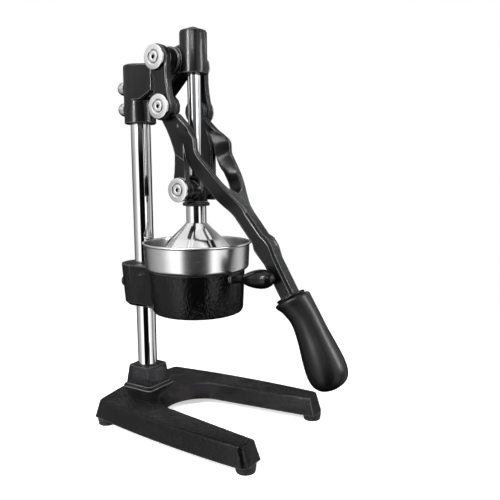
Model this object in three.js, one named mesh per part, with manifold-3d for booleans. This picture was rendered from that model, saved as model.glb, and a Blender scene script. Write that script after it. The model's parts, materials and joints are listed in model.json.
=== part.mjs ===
// Lever citrus juice press in millimetres, +Z up, the lever and the open foot towards -Y.
// A cast foot carries a steel column. A fixed head on the column holds two swinging links,
// the links hold a forked lever, and the lever moves a crosshead with the fluted press bell.
// Every piece is drawn round the press axis (x = 0, y = 0) above the floor (z = 0). The whole
// press is then moved so that its origin lies under the middle of its outer box.
import * as THREE from 'three';
import { mergeVertices } from 'three/addons/utils/BufferGeometryUtils.js';
import Module from 'manifold-3d';

const wasm = await Module();
wasm.setup();

// General clearances and facet counts
const fitGap = 0.3; // between neighbouring pieces
const stackGap = 0.1; // between flat faces that lie on each other
const cutOver = 2; // how far a cutting body runs past the face it cuts
const mergeDistance = 0.0001; // points closer than this are one point
const largeSides = 32; // facets round a large turned piece
const middleSides = 20;
const capSides = 18;
const smallSides = 12;
const arcSteps = 5; // steps on each arc of an outline

// Foot casting
const footHeight = 8;
const baseWallHeight = 20;
const baseHalfWidth = 80; // at the ends of the legs
const baseNarrowing = 13; // how much less the half width is at the back
const baseBulge = 4; // how far the sides swell between front and back
const baseFrontReach = 108; // from the press axis to the ends of the legs
const baseBackReach = 99; // from the press axis to the middle of the back
const baseBackCrown = 10; // the middle of the back stands out this far
const baseFrontCorner = 6.5;
const baseBackCorner = 5;
const sharpCornerShare = 0.2;
const backLeanShare = 0.12;
const backFlatShare = 0.3;
const roundStartShare = 0.293; // where a rounded edge passes its 45 degree point
const domeStartShare = 0.62;
const baseDraft = 2; // how far the walls lean out at the bottom
const baseEndDraft = 5.5; // the same at the ends of the legs and at the back
const baseEdgeRound = 2.2;
const baseShell = 6; // wall of the hollow underside
const baseDeck = 8; // metal left above the hollow
const legWidth = 22;
const mouthRadius = 43.5; // round end of the gap, about the press axis
const plinthHeight = 3;
const plinthRim = 2.4;
const bossBottomHalf = 19;
const bossTopHalf = 16.4;
const bossCorner = 4.5;
const bossCornerSteps = 3;
const bossEdge = 1;
const bossHeight = 25;

// Feet and their screws
const footTopRadius = 10.4;
const footBottomRadius = 9.2;
const footFrontInset = 3; // from the leg ends to the centre of a front foot
const footRearInset = 15.5; // from the middle of the back to the line of the rear feet
const footBackInset = 7; // from the side to the centre of a rear foot
const screwRadius = 2;
const screwHeadRadius = 4;
const screwHeadHeight = 2.4;
const screwBite = 7; // length of screw inside the casting
const screwRecess = 4.4; // depth of the pocket that hides the screw head

// Column and the bolt that holds it from below
const columnRadius = 11;
const columnSetback = 76; // from the press axis back to the column axis
const columnWeb = 6; // metal between the column and the hollow underside
const columnBoltRadius = 5;
const columnBoltBite = 26;
const columnBoltHeadRadius = 8.5;
const columnBoltHeadHeight = 3.4;
const columnWasherRadius = 11;
const columnWasherHeight = 1.2;
const columnEdge = 1;
const hexSides = 6;

// Cup holder on the column
const glassRoom = 98; // height for a glass between the foot and the holder
const drumTopRadius = 52;
const drumBottomRadius = 49.2;
const drumWall = 5.2;
const drumHeight = 46.7;
const drumRound = 3.6;
const drumFloorWidth = 9;
const drumFloorHeight = 4;
const drumEdge = 0.6;
const lobeTopRadius = 26.6;
const lobeBottomRadius = 23;
const webSpreadShare = 0.62; // the web leaves the drum this far out
const webStartShare = 0.72;
const webWaistShare = 0.86;
const webLobeShare = 0.99;
const lobeRise = 0.8; // the lobe stands this far above the drum
const holderScrewRadius = 4;
const holderScrewHeadRadius = 6.5;
const holderScrewHeadHeight = 5;
const hexShare = 0.72; // hexagon socket against the shank

// Steel cup with its funnel, and the strainer in it
const cupRimRadius = 57.2;
const cupBottomRadius = 55.8;
const cupWall = 1.4;
const cupHeight = 29.3;
const cupCorner = 4.4;
const cupLip = 1.3; // radius of the rolled rim
const cupStepDepth = 1.8; // the step that drops into the drum
const funnelStartShare = 0.93; // where the funnel's slope starts
const funnelDrop = 24;
const funnelSpoutRadius = 10;
const funnelSpoutLength = 14;
const strainerLift = 4.2; // from the top of the drum to the underside of the strainer
const strainerPlate = 1.6;
const strainerRimHeight = 3;
const reamerRadius = 33;
const reamerHeight = 27;
const reamerShares = [[0, 1], [0.4, 0.7], [0.72, 0.42], [0.92, 0.2], [1, 0.06]];
const reamerWall = 2.4;
const reamerRibDepth = 1.6;
const reamerRibCount = 12;
const slotWidth = 2.6;
const slotCount = 24;
const slotMargin = 2.6; // plate left at both ends of a slot

// Handle of the cup holder
const handleTurnAngle = THREE.MathUtils.degToRad(-11); // from straight ahead, towards -X
const handleTiltAngle = THREE.MathUtils.degToRad(7.6);
const handleDrop = 7; // below the top of the drum
const stemRadius = 3.8;
const stemLength = 18.6;
const stemCollarRadius = 5.2;
const stemCollarLength = 2;
const stemCollarStandoff = 0.9; // clears the curve of the drum
const stemBite = 3.6; // length inside the drum wall
const knobRadius = 9.7;
const knobLength = 40;
const knobShares = [[0, 0.44], [0.06, 0.56], [0.2, 0.76], [0.38, 0.92], [0.56, 1], [0.72, 0.96],
  [0.86, 0.76], [0.96, 0.42], [1, 0]];
const knobBoreShare = 0.55;

// Press bell, its neck and the crosshead above it
const pressGap = 6.5; // from the strainer plate up to the bell when the lever is down
const bellRadius = 43;
const bellSkirt = 4;
const bellHeight = 36.5;
const bellWall = 3.2;
const bellShares = [[0, 1], [0.26, 0.79], [0.52, 0.56], [0.84, 0.2], [1, 0.04]];
const panelShare = 0.972; // flattening of the panels between flutes
const fluteLimitShare = 0.3;
const fluteCount = 8;
const fluteHalfWidth = 2.3;
const fluteDepth = 1.9;
const neckRadius = 10.8;
const neckFlare = 1;
const neckLength = 18.7;
const spigotRadius = 5;
const spigotLength = 10;
const crossheadFlangeRadius = 14.4;
const crossheadFlangeHeight = 3.6;
const crossheadRadius = 12.2;
const crossheadBelow = 17.2; // from the lower pivot down to the flange
const crossheadAbove = 14.5;
const trunnionRadius = 10.4;
const crossheadEdge = 0.8;
const crossheadWall = 2.2; // between the rod's hole and the tip of a lower pin

// Rod in its guide
const rodRadius = 7;
const rodGuideGap = 1.5; // lets the rod follow the lever through its arc
const rodBite = 11; // length of rod inside the crosshead
const rodOut = 3.6; // how far the rod stands above the guide
const rodDome = 2.4;
const guideRadius = 14.3;
const guideBelowPivot = 14; // from the upper pivot down to the end of the guide
const guideAbovePivot = 30;
const guideRound = 2.4;
const guideLip = 2.4; // ledge that carries the bush
const bushWall = 2.2;

// Pivots of the lever linkage
const pivotDrop = 84; // lower pivot to middle pivot, upright
const middleSetback = 15.5; // middle pivot behind the press axis
const linkDrop = 48.5; // middle pivot to upper pivot, upright
const upperSetback = 20;
const pinRadius = 6;
const capRadius = 12.4;
const capThickness = 3;
const capEdge = 0.6;
const capGrooveRadius = 6.4;
const capGrooveWidth = 1.1;
const capGrooveDepth = 0.5;
const capSocketRadius = 2.2;
const capSocketDepth = 1.8;
const capStudRadius = 3;
const capStudLength = 9;
const washerThickness = 0.8;
const washerRadius = 11.5;

// Fork widths, from the press axis outwards
const forkInner = 18.7;
const armThickness = 9;
const linkThickness = 8.4;

// Head casting
const socketRadius = 17.5;
const socketBelowPivot = 61; // from the upper pivot down to the mouth of the socket
const socketAbovePivot = 2.5;
const socketCap = 5; // metal over the column
const socketLip = 2.5;
const blockHalfWidth = 17;
const blockBelowPivot = 37;
const blockFront = 43; // from the press axis to the front of the wide block
const blockChamfer = 9;
const blockSlope = 2.5; // the top of the block falls this much towards the front
const webHalfWidth = 11;
const webEdge = 1.5;
const hubRadius = 12.6;
const hubCollarRadius = 14.2;
const hubCollarLength = 3;
const headBoltRadius = 4;
const headBoltDomeRadius = 7.5;
const headBoltDomeHeight = 7;
const headBoltFlat = 4.5;
const headBoltSpacing = 23;
const headBoltBite = 6; // length of bolt inside the column
const headBoltBelowPivot = 21;
const headBoltPad = 1; // how far the bolt's pad stands out of the socket
const domeShares = [[0, 1], [0.35, 0.93], [0.66, 0.75], [0.88, 0.47], [1, 0]];

// Links
const linkEndRadius = 13.6;
const linkWaistRear = 6.2;
const linkWaistFront = 11.2;
const linkEdge = 0.9;

// Lever casting
const armBossRadius = 13;
const lowerBossRadius = 11.8;
const branchRear = 6.3;
const branchFront = 7.8;
const armEdge = 1.4;
const notchShare = 0.25; // places on the arms, as shares of the height between their pivots
const rearWaistShare = 0.44;
const rearBendShare = 0.7;
const frontBendShare = 0.46;
const armStepRing = 12.6; // round the lower pivot, as high as the rest of the arm
const armStepDepth = 0.8; // how much lower the arm's face lies between the ring and the flare
const stepRearShare = 0.46; // upper end of the low face, above the lower pivot, as above
const stepMiddleShare = 0.42;
const stepFrontShare = 0.3;
// Where the flared front of an arm runs down to the bar. Each row is one cross-section: its front
// edge and its back edge, forward of and above the lower pivot, as shares of the height between
// the pivots. Then come the outer and inner faces at the front edge and the outer and inner faces
// at the back edge, as shares of the outer width of the fork, and how far the back leans forward
// on its inner side, as a share of the height between the pivots again.
const forkShares = [
  [-0.03, 0.917, -0.13, 0.845, 1, 0.675, 1, 0.675, 0.03],
  [0.06, 0.83, -0.1, 0.805, 1, 0.675, 1, 0.675, 0.04],
  [0.146, 0.75, -0.06, 0.74, 1, 0.7, 1, 0.675, 0.06],
  [0.203, 0.696, -0.02, 0.67, 1.12, 0.84, 1, 0.675, 0.07],
  [0.262, 0.637, 0.02, 0.6, 1.19, 0.93, 1, 0.675, 0.07],
  [0.29, 0.6, 0.055, 0.55, 1.21, 0.96, 1, 0.675, 0.06],
  [0.297, 0.53, 0.085, 0.455, 1.21, 0.97, 1, 0.675, 0.055],
  [0.303, 0.464, 0.115, 0.36, 1.205, 0.96, 1, 0.675, 0.05],
  [0.348, 0.387, 0.178, 0.25, 1.16, 0.91, 1, 0.675, 0.057],
  [0.438, 0.268, 0.282, 0.14, 1.047, 0.8, 1, 0.68, 0.018],
  [0.524, 0.149, 0.354, 0.048, 0.917, 0.69, 0.91, 0.62, 0.005],
  [0.602, 0.03, 0.426, -0.068, 0.74, 0.45, 0.75, 0.42, 0],
  [0.651, -0.042, 0.468, -0.134, 0.606, 0, 0.62, 0, 0],
  [0.712, -0.125, 0.521, -0.202, 0.444, 0, 0.47, 0, 0],
  [0.765, -0.196, 0.584, -0.263, 0.34, 0, 0.36, 0, 0],
  [0.81, -0.256, 0.643, -0.326, 0.32, 0, 0.32, 0, 0],
];
const forkSteps = 2; // cross-sections from one row to the next
const bendShare = 1 / 6; // how far a smooth curve keeps its neighbours' direction
// Where the round ends of an arm begin and stop, turned from straight back
const upperBossRearAngle = THREE.MathUtils.degToRad(-30);
const upperBossFrontAngle = THREE.MathUtils.degToRad(223);
const lowerBossFrontAngle = THREE.MathUtils.degToRad(162);
const lowerBossRearAngle = THREE.MathUtils.degToRad(372);
const barHalfWidth = 8.9;
const barHalfDepth = 7.9;
const barEdgeShare = 0.34;
const barStartShare = 0.68; // forward of the lower pivot, as above
const barDropShare = 0.235;
const knuckleReach = 88.5; // from the press axis to the bend of the bar
const knuckleDrop = 58.5; // below the lower pivot
const barLowerLength = 51;
const barLowerAngle = THREE.MathUtils.degToRad(60);
const knuckleSwell = 2.1;
const knuckleHalfLength = 13;

// Grip on the lever
const collarRadius = 14.9;
const collarLength = 3;
const gripLength = 96.5;
const gripRadius = 20.3;
// Rings of the grip: place along it, then radius and forward bow as shares of the largest radius
const gripShares = [
  [0, 0.78, 0], [0.02, 0.9, 0.01], [0.05, 0.885, 0.04], [0.11, 0.81, 0.13], [0.24, 0.745, 0.22],
  [0.42, 0.8, 0.17], [0.6, 0.92, 0.09], [0.77, 1, 0.02], [0.88, 0.94, 0], [0.95, 0.74, 0],
  [0.985, 0.45, 0], [1, 0.12, 0],
];
const gripStudRadius = 5;
const gripStudBite = 14; // length inside the bar
const gripStudShare = 0.66; // part of the grip that the stud reaches through

// Heights and places that follow from the sizes above
const baseTop = footHeight + baseWallHeight;
const baseBackHalfWidth = baseHalfWidth - baseNarrowing;
const mouthHalfWidth = baseHalfWidth - legWidth;
const hollowTop = baseTop - baseDeck;
const columnFoot = hollowTop + columnWeb;
const holderBottom = baseTop + glassRoom;
const holderTop = holderBottom + drumHeight;
const cupRim = holderTop + cupHeight;
const strainerTop = holderTop + strainerLift + strainerPlate;
const bellBottom = strainerTop + pressGap;
const neckBottom = bellBottom + bellHeight;
const crossheadBottom = neckBottom + neckLength + stackGap;
const lowerPivot = new THREE.Vector3(0, 0, crossheadBottom + crossheadBelow);
const middlePivot = new THREE.Vector3(0, middleSetback, lowerPivot.z + pivotDrop);
const upperPivot = new THREE.Vector3(0, upperSetback, middlePivot.z + linkDrop);
const guideBottom = upperPivot.z - guideBelowPivot;
const guideTop = upperPivot.z + guideAbovePivot;
const socketBottom = upperPivot.z - socketBelowPivot;
const socketTop = upperPivot.z + socketAbovePivot;
const columnTop = socketTop - socketCap;
const armOuter = forkInner + armThickness;
const linkInner = armOuter + fitGap;
const linkOuter = linkInner + linkThickness;
const across = new THREE.Vector3(1, 0, 0);
const upward = new THREE.Vector3(0, 0, 1);

// Materials
const paint = { color: 0x17181a, roughness: 0.42, metalness: 0.25, flatShading: true };
const hammered = { color: 0x1b1c1f, roughness: 0.5, metalness: 0.3, flatShading: true };
const chrome = { color: 0xd8dadd, roughness: 0.12, metalness: 1, flatShading: true };
const brushed = { color: 0xc4c5c6, roughness: 0.34, metalness: 1, flatShading: true };
const zinc = { color: 0x9b9c9e, roughness: 0.45, metalness: 1, flatShading: true };
const bronze = { color: 0xa9793c, roughness: 0.4, metalness: 1, flatShading: true };
const plastic = { color: 0x141414, roughness: 0.38, metalness: 0, flatShading: true };
const rubber = { color: 0x101010, roughness: 0.85, metalness: 0, flatShading: true };

// Closed body from any geometry, with its faces turned outwards
function toSolid(geometry) {
  const bare = geometry.clone();
  bare.deleteAttribute('normal');
  bare.deleteAttribute('uv');
  const merged = mergeVertices(bare, mergeDistance);
  const points = Float32Array.from(merged.attributes.position.array);
  const faces = [];
  const index = merged.index.array;
  let volume = 0;
  for (let i = 0; i < index.length; i += 3) {
    const [a, b, c] = [index[i], index[i + 1], index[i + 2]];
    if (a === b || b === c || c === a) continue;
    faces.push(a, b, c);
    const [p, q, r] = [a, b, c].map((n) => new THREE.Vector3().fromArray(points, n * 3));
    volume += p.dot(q.cross(r));
  }
  if (volume < 0) faces.reverse();
  return new wasm.Manifold(
    new wasm.Mesh({ numProp: 3, vertProperties: points, triVerts: Uint32Array.from(faces) }));
}

function join(first, ...others) {
  return others.reduce((whole, next) => whole.add(next), first);
}

function cut(body, ...tools) {
  return tools.reduce((whole, tool) => whole.subtract(tool), body);
}

// Named mesh from a solid
function piece(name, solid, look) {
  const result = solid.getMesh();
  const geometry = new THREE.BufferGeometry();
  geometry.setAttribute('position', new THREE.BufferAttribute(Float32Array.from(result.vertProperties), 3));
  geometry.setIndex(new THREE.BufferAttribute(Uint32Array.from(result.triVerts), 1));
  const mesh = new THREE.Mesh(geometry, new THREE.MeshStandardMaterial(look));
  mesh.name = name;
  return mesh;
}

// Second mesh of the same shape
function copyOf(mesh, name) {
  const twin = new THREE.Mesh(mesh.geometry, mesh.material.clone());
  twin.name = name;
  return twin;
}

// Skin between rings with equal point counts, closed by a cap at each end
function loft(rings) {
  const count = rings[0].length;
  const index = [];
  for (let r = 0; r + 1 < rings.length; r += 1) {
    for (let i = 0; i < count; i += 1) {
      const j = (i + 1) % count;
      const [a, b, c, d] = [r * count + i, r * count + j, (r + 1) * count + j, (r + 1) * count + i];
      index.push(a, b, c, a, c, d);
    }
  }
  index.push(...capFaces(rings[0]).reverse());
  index.push(...capFaces(rings.at(-1)).map((n) => n + (rings.length - 1) * count));
  const geometry = new THREE.BufferGeometry();
  const points = rings.flat().flatMap((point) => point.toArray());
  geometry.setAttribute('position', new THREE.Float32BufferAttribute(points, 3));
  geometry.setIndex(index);
  return toSolid(geometry);
}

// Triangles that fill one flat ring, wound as the ring is
function capFaces(ring) {
  const normal = new THREE.Vector3();
  ring.forEach((p, i) => normal.add(new THREE.Vector3().crossVectors(p, ring[(i + 1) % ring.length])));
  normal.normalize();
  const side = ring[1].clone().sub(ring[0]).normalize();
  const rise = new THREE.Vector3().crossVectors(normal, side);
  const flat = ring.map((p) => new THREE.Vector2(p.dot(side), p.dot(rise)));
  return THREE.ShapeUtils.triangulateShape(flat, []).flatMap((face) => {
    const turn = THREE.ShapeUtils.area(face.map((n) => flat[n]));
    return turn < 0 ? [...face].reverse() : face;
  });
}

// Turned body: pairs of radius and height along a direction from a foot point
function turned(profile, sides, foot = new THREE.Vector3(), direction = upward) {
  const geometry = new THREE.LatheGeometry(profile.map(([r, h]) => new THREE.Vector2(r, h)), sides);
  geometry.rotateX(Math.PI / 2);
  geometry.applyQuaternion(new THREE.Quaternion().setFromUnitVectors(upward, direction));
  geometry.translate(foot.x, foot.y, foot.z);
  return toSolid(geometry);
}

function round(radius, from, to, sides) {
  const direction = to.clone().sub(from);
  const length = direction.length();
  return turned([[0, 0], [radius, 0], [radius, length], [0, length]], sides, from, direction.normalize());
}

// Upright cylinder between two heights
function pillar(radius, x, y, low, high, sides) {
  return round(radius, new THREE.Vector3(x, y, low), new THREE.Vector3(x, y, high), sides);
}

// Cylinder across the press, between two places on X
function spindle(radius, pivot, from, to, sides) {
  return round(radius, new THREE.Vector3(from, pivot.y, pivot.z), new THREE.Vector3(to, pivot.y, pivot.z), sides);
}

// Plate with chamfered rims: the outline lies in the plane of Y and Z, the thickness along X
function plate(outline, from, to, edge) {
  const geometry = new THREE.ExtrudeGeometry(outline, {
    depth: to - from - edge * 2,
    bevelThickness: edge,
    bevelSize: edge,
    bevelOffset: -edge,
    bevelSegments: 1,
    curveSegments: arcSteps,
  });
  geometry.translate(0, 0, from + edge);
  geometry.applyMatrix4(new THREE.Matrix4().makeBasis(
    new THREE.Vector3(0, 1, 0), new THREE.Vector3(0, 0, 1), new THREE.Vector3(1, 0, 0)));
  return toSolid(geometry);
}

// Flat ring of points at one height
const ringAt = (outline, height) => outline.map((p) => new THREE.Vector3(p.x, p.y, height));

// Right-hand points and their mirror images as one closed ring
function bothSides(right) {
  return [...right, ...right.map((p) => new THREE.Vector2(-p.x, p.y)).reverse()];
}

// Foot casting: drafted U-shaped plate, hollow below, with a square boss for the column.
// The outline is drawn with its sides and its ends moved inwards by two insets.
function footOutline(sideInset, endInset) {
  const corner = Math.max(baseFrontCorner - sideInset, baseFrontCorner * sharpCornerShare);
  const side = baseHalfWidth - sideInset;
  const front = endInset - baseFrontReach;
  const backSide = baseBackHalfWidth - sideInset;
  const back = baseBackReach - endInset;
  const cornerTop = back - baseBackCrown;
  const right = new THREE.Path();
  right.moveTo(mouthHalfWidth + sideInset, front);
  right.lineTo(side - corner, front);
  right.absarc(side - corner, front + corner, corner, -Math.PI / 2, 0);
  right.quadraticCurveTo((side + backSide) / 2 + baseBulge * 2, (front + cornerTop) / 2,
    backSide, cornerTop - baseBackCorner);
  right.quadraticCurveTo(backSide, cornerTop,
    backSide - baseBackCorner, cornerTop + baseBackCrown * backLeanShare);
  right.quadraticCurveTo(backSide * backFlatShare, back, 0, back);
  const outer = right.getPoints(arcSteps);
  const left = outer.slice(0, -1).map((p) => new THREE.Vector2(-p.x, p.y)).reverse();
  const mouth = new THREE.Path();
  mouth.absarc(0, 0, mouthRadius + sideInset, Math.PI, 0, true);
  return [...outer, ...left, ...mouth.getPoints(arcSteps * 3)];
}

function roundedSquare(half, corner, height) {
  const points = [];
  for (let quarter = 0; quarter < 4; quarter += 1) {
    for (let step = 0; step <= bossCornerSteps; step += 1) {
      const angle = (quarter + step / bossCornerSteps) * Math.PI / 2;
      const [sx, sy] = [[1, 1], [-1, 1], [-1, -1], [1, -1]][quarter];
      points.push(new THREE.Vector3(
        sx * (half - corner) + corner * Math.cos(angle),
        columnSetback + sy * (half - corner) + corner * Math.sin(angle), height));
    }
  }
  return points;
}

const footPlaces = [
  ['front_left', -1, true], ['front_right', 1, true], ['rear_left', -1, false], ['rear_right', 1, false],
].map(([name, side, front]) => ({
  name,
  x: side * (front ? (mouthHalfWidth + baseHalfWidth) / 2 : baseBackHalfWidth - footBackInset),
  y: front ? footFrontInset - baseFrontReach : baseBackReach - footRearInset,
}));

function makeBase() {
  const walls = loft([
    ringAt(footOutline(-baseDraft, -baseEndDraft), footHeight),
    ringAt(footOutline(0, 0), baseTop - baseEdgeRound),
    ringAt(footOutline(baseEdgeRound * roundStartShare, baseEdgeRound * roundStartShare),
      baseTop - baseEdgeRound * roundStartShare),
    ringAt(footOutline(baseEdgeRound, baseEdgeRound), baseTop),
  ]);
  const hollow = loft([
    ringAt(footOutline(baseShell - baseDraft, baseShell - baseEndDraft), footHeight - cutOver),
    ringAt(footOutline(baseShell, baseShell), hollowTop),
  ]);
  const plinthHalf = bossBottomHalf + plinthRim;
  const plinth = loft([
    roundedSquare(plinthHalf, bossCorner, hollowTop),
    roundedSquare(plinthHalf, bossCorner, baseTop + plinthHeight / 2),
    roundedSquare(bossBottomHalf, bossCorner, baseTop + plinthHeight),
  ]);
  const boss = loft([
    roundedSquare(bossBottomHalf, bossCorner, hollowTop),
    roundedSquare(bossBottomHalf, bossCorner, baseTop + plinthHeight),
    roundedSquare(bossTopHalf, bossCorner, baseTop + bossHeight - bossEdge),
    roundedSquare(bossTopHalf - bossEdge, bossCorner, baseTop + bossHeight),
  ]);
  const screwPillars = footPlaces.map(({ x, y }) =>
    pillar(footTopRadius - fitGap * 2, x, y, footHeight, hollowTop + fitGap, smallSides));
  const body = join(cut(walls, hollow), plinth, boss, ...screwPillars);
  const screwHoles = footPlaces.map(({ x, y }) =>
    pillar(screwRadius + fitGap, x, y, footHeight - cutOver, footHeight + screwBite + fitGap, smallSides));
  return cut(body, ...screwHoles,
    pillar(columnRadius + fitGap, 0, columnSetback, columnFoot - stackGap, baseTop + bossHeight + cutOver, middleSides),
    pillar(columnBoltRadius + fitGap, 0, columnSetback, hollowTop - cutOver, columnFoot + cutOver, smallSides));
}

// Rubber foot with a pocket for its screw, and the screw, both about their own axis
function makeFoot() {
  const body = turned([
    [0, 0], [footBottomRadius, 0], [footTopRadius, footHeight - stackGap], [0, footHeight - stackGap]], capSides);
  return cut(body,
    pillar(screwHeadRadius + fitGap, 0, 0, -cutOver, screwRecess, smallSides),
    pillar(screwRadius + fitGap, 0, 0, 0, footHeight + cutOver, smallSides));
}

function makeFootScrew() {
  const seat = screwRecess - stackGap;
  const bottom = seat - screwHeadHeight;
  return turned([
    [0, bottom], [screwHeadRadius * domeStartShare, bottom], [screwHeadRadius, seat], [screwRadius, seat],
    [screwRadius, footHeight + screwBite], [0, footHeight + screwBite]], smallSides);
}

// Column: polished bar with a threaded hole below and seats for the clamp bolts
const headBoltHeights = [upperPivot.z - headBoltBelowPivot, upperPivot.z - headBoltBelowPivot - headBoltSpacing];
const holderScrewHeight = (holderBottom + holderTop) / 2;
const backward = new THREE.Vector3(0, 1, 0);

function rearward(radius, height, from, to, sides) {
  return round(radius, new THREE.Vector3(0, from, height), new THREE.Vector3(0, to, height), sides);
}

function makeColumn() {
  const surface = columnSetback + columnRadius;
  return cut(
    turned([
      [0, columnFoot], [columnRadius - columnEdge, columnFoot], [columnRadius, columnFoot + columnEdge],
      [columnRadius, columnTop - columnEdge], [columnRadius - columnEdge, columnTop], [0, columnTop],
    ], middleSides, new THREE.Vector3(0, columnSetback, 0)),
    pillar(columnBoltRadius + fitGap, 0, columnSetback, columnFoot - cutOver,
      columnFoot + columnBoltBite + fitGap, smallSides),
    ...headBoltHeights.map((height) => rearward(headBoltRadius + fitGap, height,
      surface - headBoltBite - fitGap, surface + cutOver, smallSides)));
}

function makeColumnBolt() {
  const headTop = hollowTop - columnWasherHeight - stackGap * 2;
  const shank = pillar(columnBoltRadius, 0, columnSetback, headTop - fitGap, columnFoot + columnBoltBite, smallSides);
  const head = pillar(columnBoltHeadRadius, 0, columnSetback, headTop - columnBoltHeadHeight, headTop, hexSides);
  return join(shank, head);
}

function makeColumnWasher() {
  const top = hollowTop - stackGap;
  return cut(
    pillar(columnWasherRadius, 0, columnSetback, top - columnWasherHeight, top, smallSides),
    pillar(columnBoltRadius + fitGap, 0, columnSetback, top - columnWasherHeight - cutOver, top + cutOver, smallSides));
}

// Cup holder: open tapered drum in front, a drafted lobe round the column behind
const drumLean = (drumTopRadius - drumBottomRadius) / drumHeight;
const drumRadiusAt = (height) => drumBottomRadius + drumLean * (height - holderBottom);

function holderWeb(lobeRadius, drumRadius, height) {
  const flank = new THREE.Path();
  flank.moveTo(0, 0);
  flank.lineTo(drumRadius * webSpreadShare, drumRadius * webStartShare);
  flank.quadraticCurveTo(lobeRadius * webWaistShare, (drumRadius + columnSetback - lobeRadius) / 2,
    lobeRadius * webLobeShare, columnSetback);
  const right = flank.getPoints(arcSteps).slice(1);
  return ringAt(bothSides(right), height);
}

function makeHolder() {
  const lobeTop = holderTop + lobeRise;
  const drum = turned([
    [0, holderBottom], [drumBottomRadius - drumRound, holderBottom],
    [drumBottomRadius - drumRound * roundStartShare, holderBottom + drumRound * roundStartShare],
    [drumRadiusAt(holderBottom + drumRound), holderBottom + drumRound],
    [drumTopRadius - drumEdge, holderTop - drumEdge], [drumTopRadius - drumEdge * 2, holderTop],
    [0, holderTop]], largeSides);
  const lobe = turned([
    [0, holderBottom], [lobeBottomRadius - drumRound, holderBottom], [lobeBottomRadius, holderBottom + drumRound],
    [lobeTopRadius - drumEdge, lobeTop - drumEdge], [lobeTopRadius - drumEdge * 2, lobeTop], [0, lobeTop],
  ], largeSides, new THREE.Vector3(0, columnSetback, 0));
  const web = loft([
    holderWeb(lobeBottomRadius - drumRound, drumBottomRadius - drumRound, holderBottom),
    holderWeb(lobeBottomRadius, drumBottomRadius, holderBottom + drumRound),
    holderWeb(lobeTopRadius, drumTopRadius, lobeTop - drumEdge),
    holderWeb(lobeTopRadius - drumEdge, drumTopRadius - drumEdge, lobeTop),
  ]);
  const floorRadius = drumBottomRadius - drumWall - drumFloorWidth;
  const cavity = turned([
    [0, holderBottom - cutOver], [floorRadius, holderBottom - cutOver], [floorRadius, holderBottom + drumFloorHeight],
    [drumBottomRadius - drumWall, holderBottom + drumFloorHeight], [drumTopRadius - drumWall, holderTop],
    [drumTopRadius - drumWall, holderTop + cutOver], [0, holderTop + cutOver]], largeSides);
  const seat = pillar(cupBottomRadius, 0, 0, holderTop, lobeTop + cutOver, largeSides);
  const { foot, aim } = handlePlace;
  return cut(join(drum, web, lobe), cavity, seat,
    pillar(columnRadius + fitGap, 0, columnSetback, holderBottom - cutOver, lobeTop + cutOver, middleSides),
    rearward(holderScrewRadius + fitGap, holderScrewHeight, columnSetback,
      columnSetback + lobeTopRadius + cutOver, smallSides),
    round(stemRadius + fitGap, foot.clone().addScaledVector(aim, -fitGap),
      foot.clone().addScaledVector(aim, stemLength), smallSides));
}

function makeHolderScrew() {
  const head = columnSetback + lobeTopRadius + stackGap;
  const tip = columnSetback + columnRadius + stackGap;
  const body = join(
    rearward(holderScrewRadius, holderScrewHeight, tip, head + fitGap, smallSides),
    rearward(holderScrewHeadRadius, holderScrewHeight, head, head + holderScrewHeadHeight, middleSides));
  const recess = rearward(holderScrewRadius * hexShare, holderScrewHeight,
    head + holderScrewHeadHeight / 2, head + holderScrewHeadHeight + cutOver, hexSides);
  return cut(body, recess);
}

// Handle: a stem screwed into the drum, leaning up and a little to the left, with an egg-shaped knob
const handleHeight = holderTop - handleDrop;
const handlePlace = {
  foot: new THREE.Vector3(Math.sin(handleTurnAngle), -Math.cos(handleTurnAngle), 0)
    .multiplyScalar(drumRadiusAt(handleHeight) - stemBite)
    .setZ(handleHeight),
  aim: new THREE.Vector3(
    Math.sin(handleTurnAngle) * Math.cos(handleTiltAngle), -Math.cos(handleTurnAngle) * Math.cos(handleTiltAngle), Math.sin(handleTiltAngle)),
};
const knobBore = knobLength * knobBoreShare;

function makeStem() {
  const collar = stemBite + stemCollarStandoff;
  const end = stemBite + stemLength + knobBore - fitGap;
  return turned([
    [0, 0], [stemRadius, 0], [stemRadius, collar], [stemCollarRadius, collar],
    [stemCollarRadius, collar + stemCollarLength / 2], [stemRadius, collar + stemCollarLength],
    [stemRadius, end], [0, end]], smallSides, handlePlace.foot, handlePlace.aim);
}

function makeKnob() {
  const foot = handlePlace.foot.clone().addScaledVector(handlePlace.aim, stemBite + stemLength);
  const profile = knobShares.map(([along, wide]) => [knobRadius * wide, knobLength * along]);
  return cut(
    turned([[0, 0], ...profile], middleSides, foot, handlePlace.aim),
    round(stemRadius + fitGap, foot.clone().addScaledVector(handlePlace.aim, -cutOver),
      foot.clone().addScaledVector(handlePlace.aim, knobBore), smallSides));
}

// Steel cup: rolled rim, leaning wall, a step that drops into the drum, and the juice funnel
const cupSeatRadius = drumTopRadius - drumWall - fitGap;
const cupFloor = holderTop + stackGap;
const stepBottom = cupFloor - cupStepDepth;
const spoutTop = stepBottom - funnelDrop;

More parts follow.
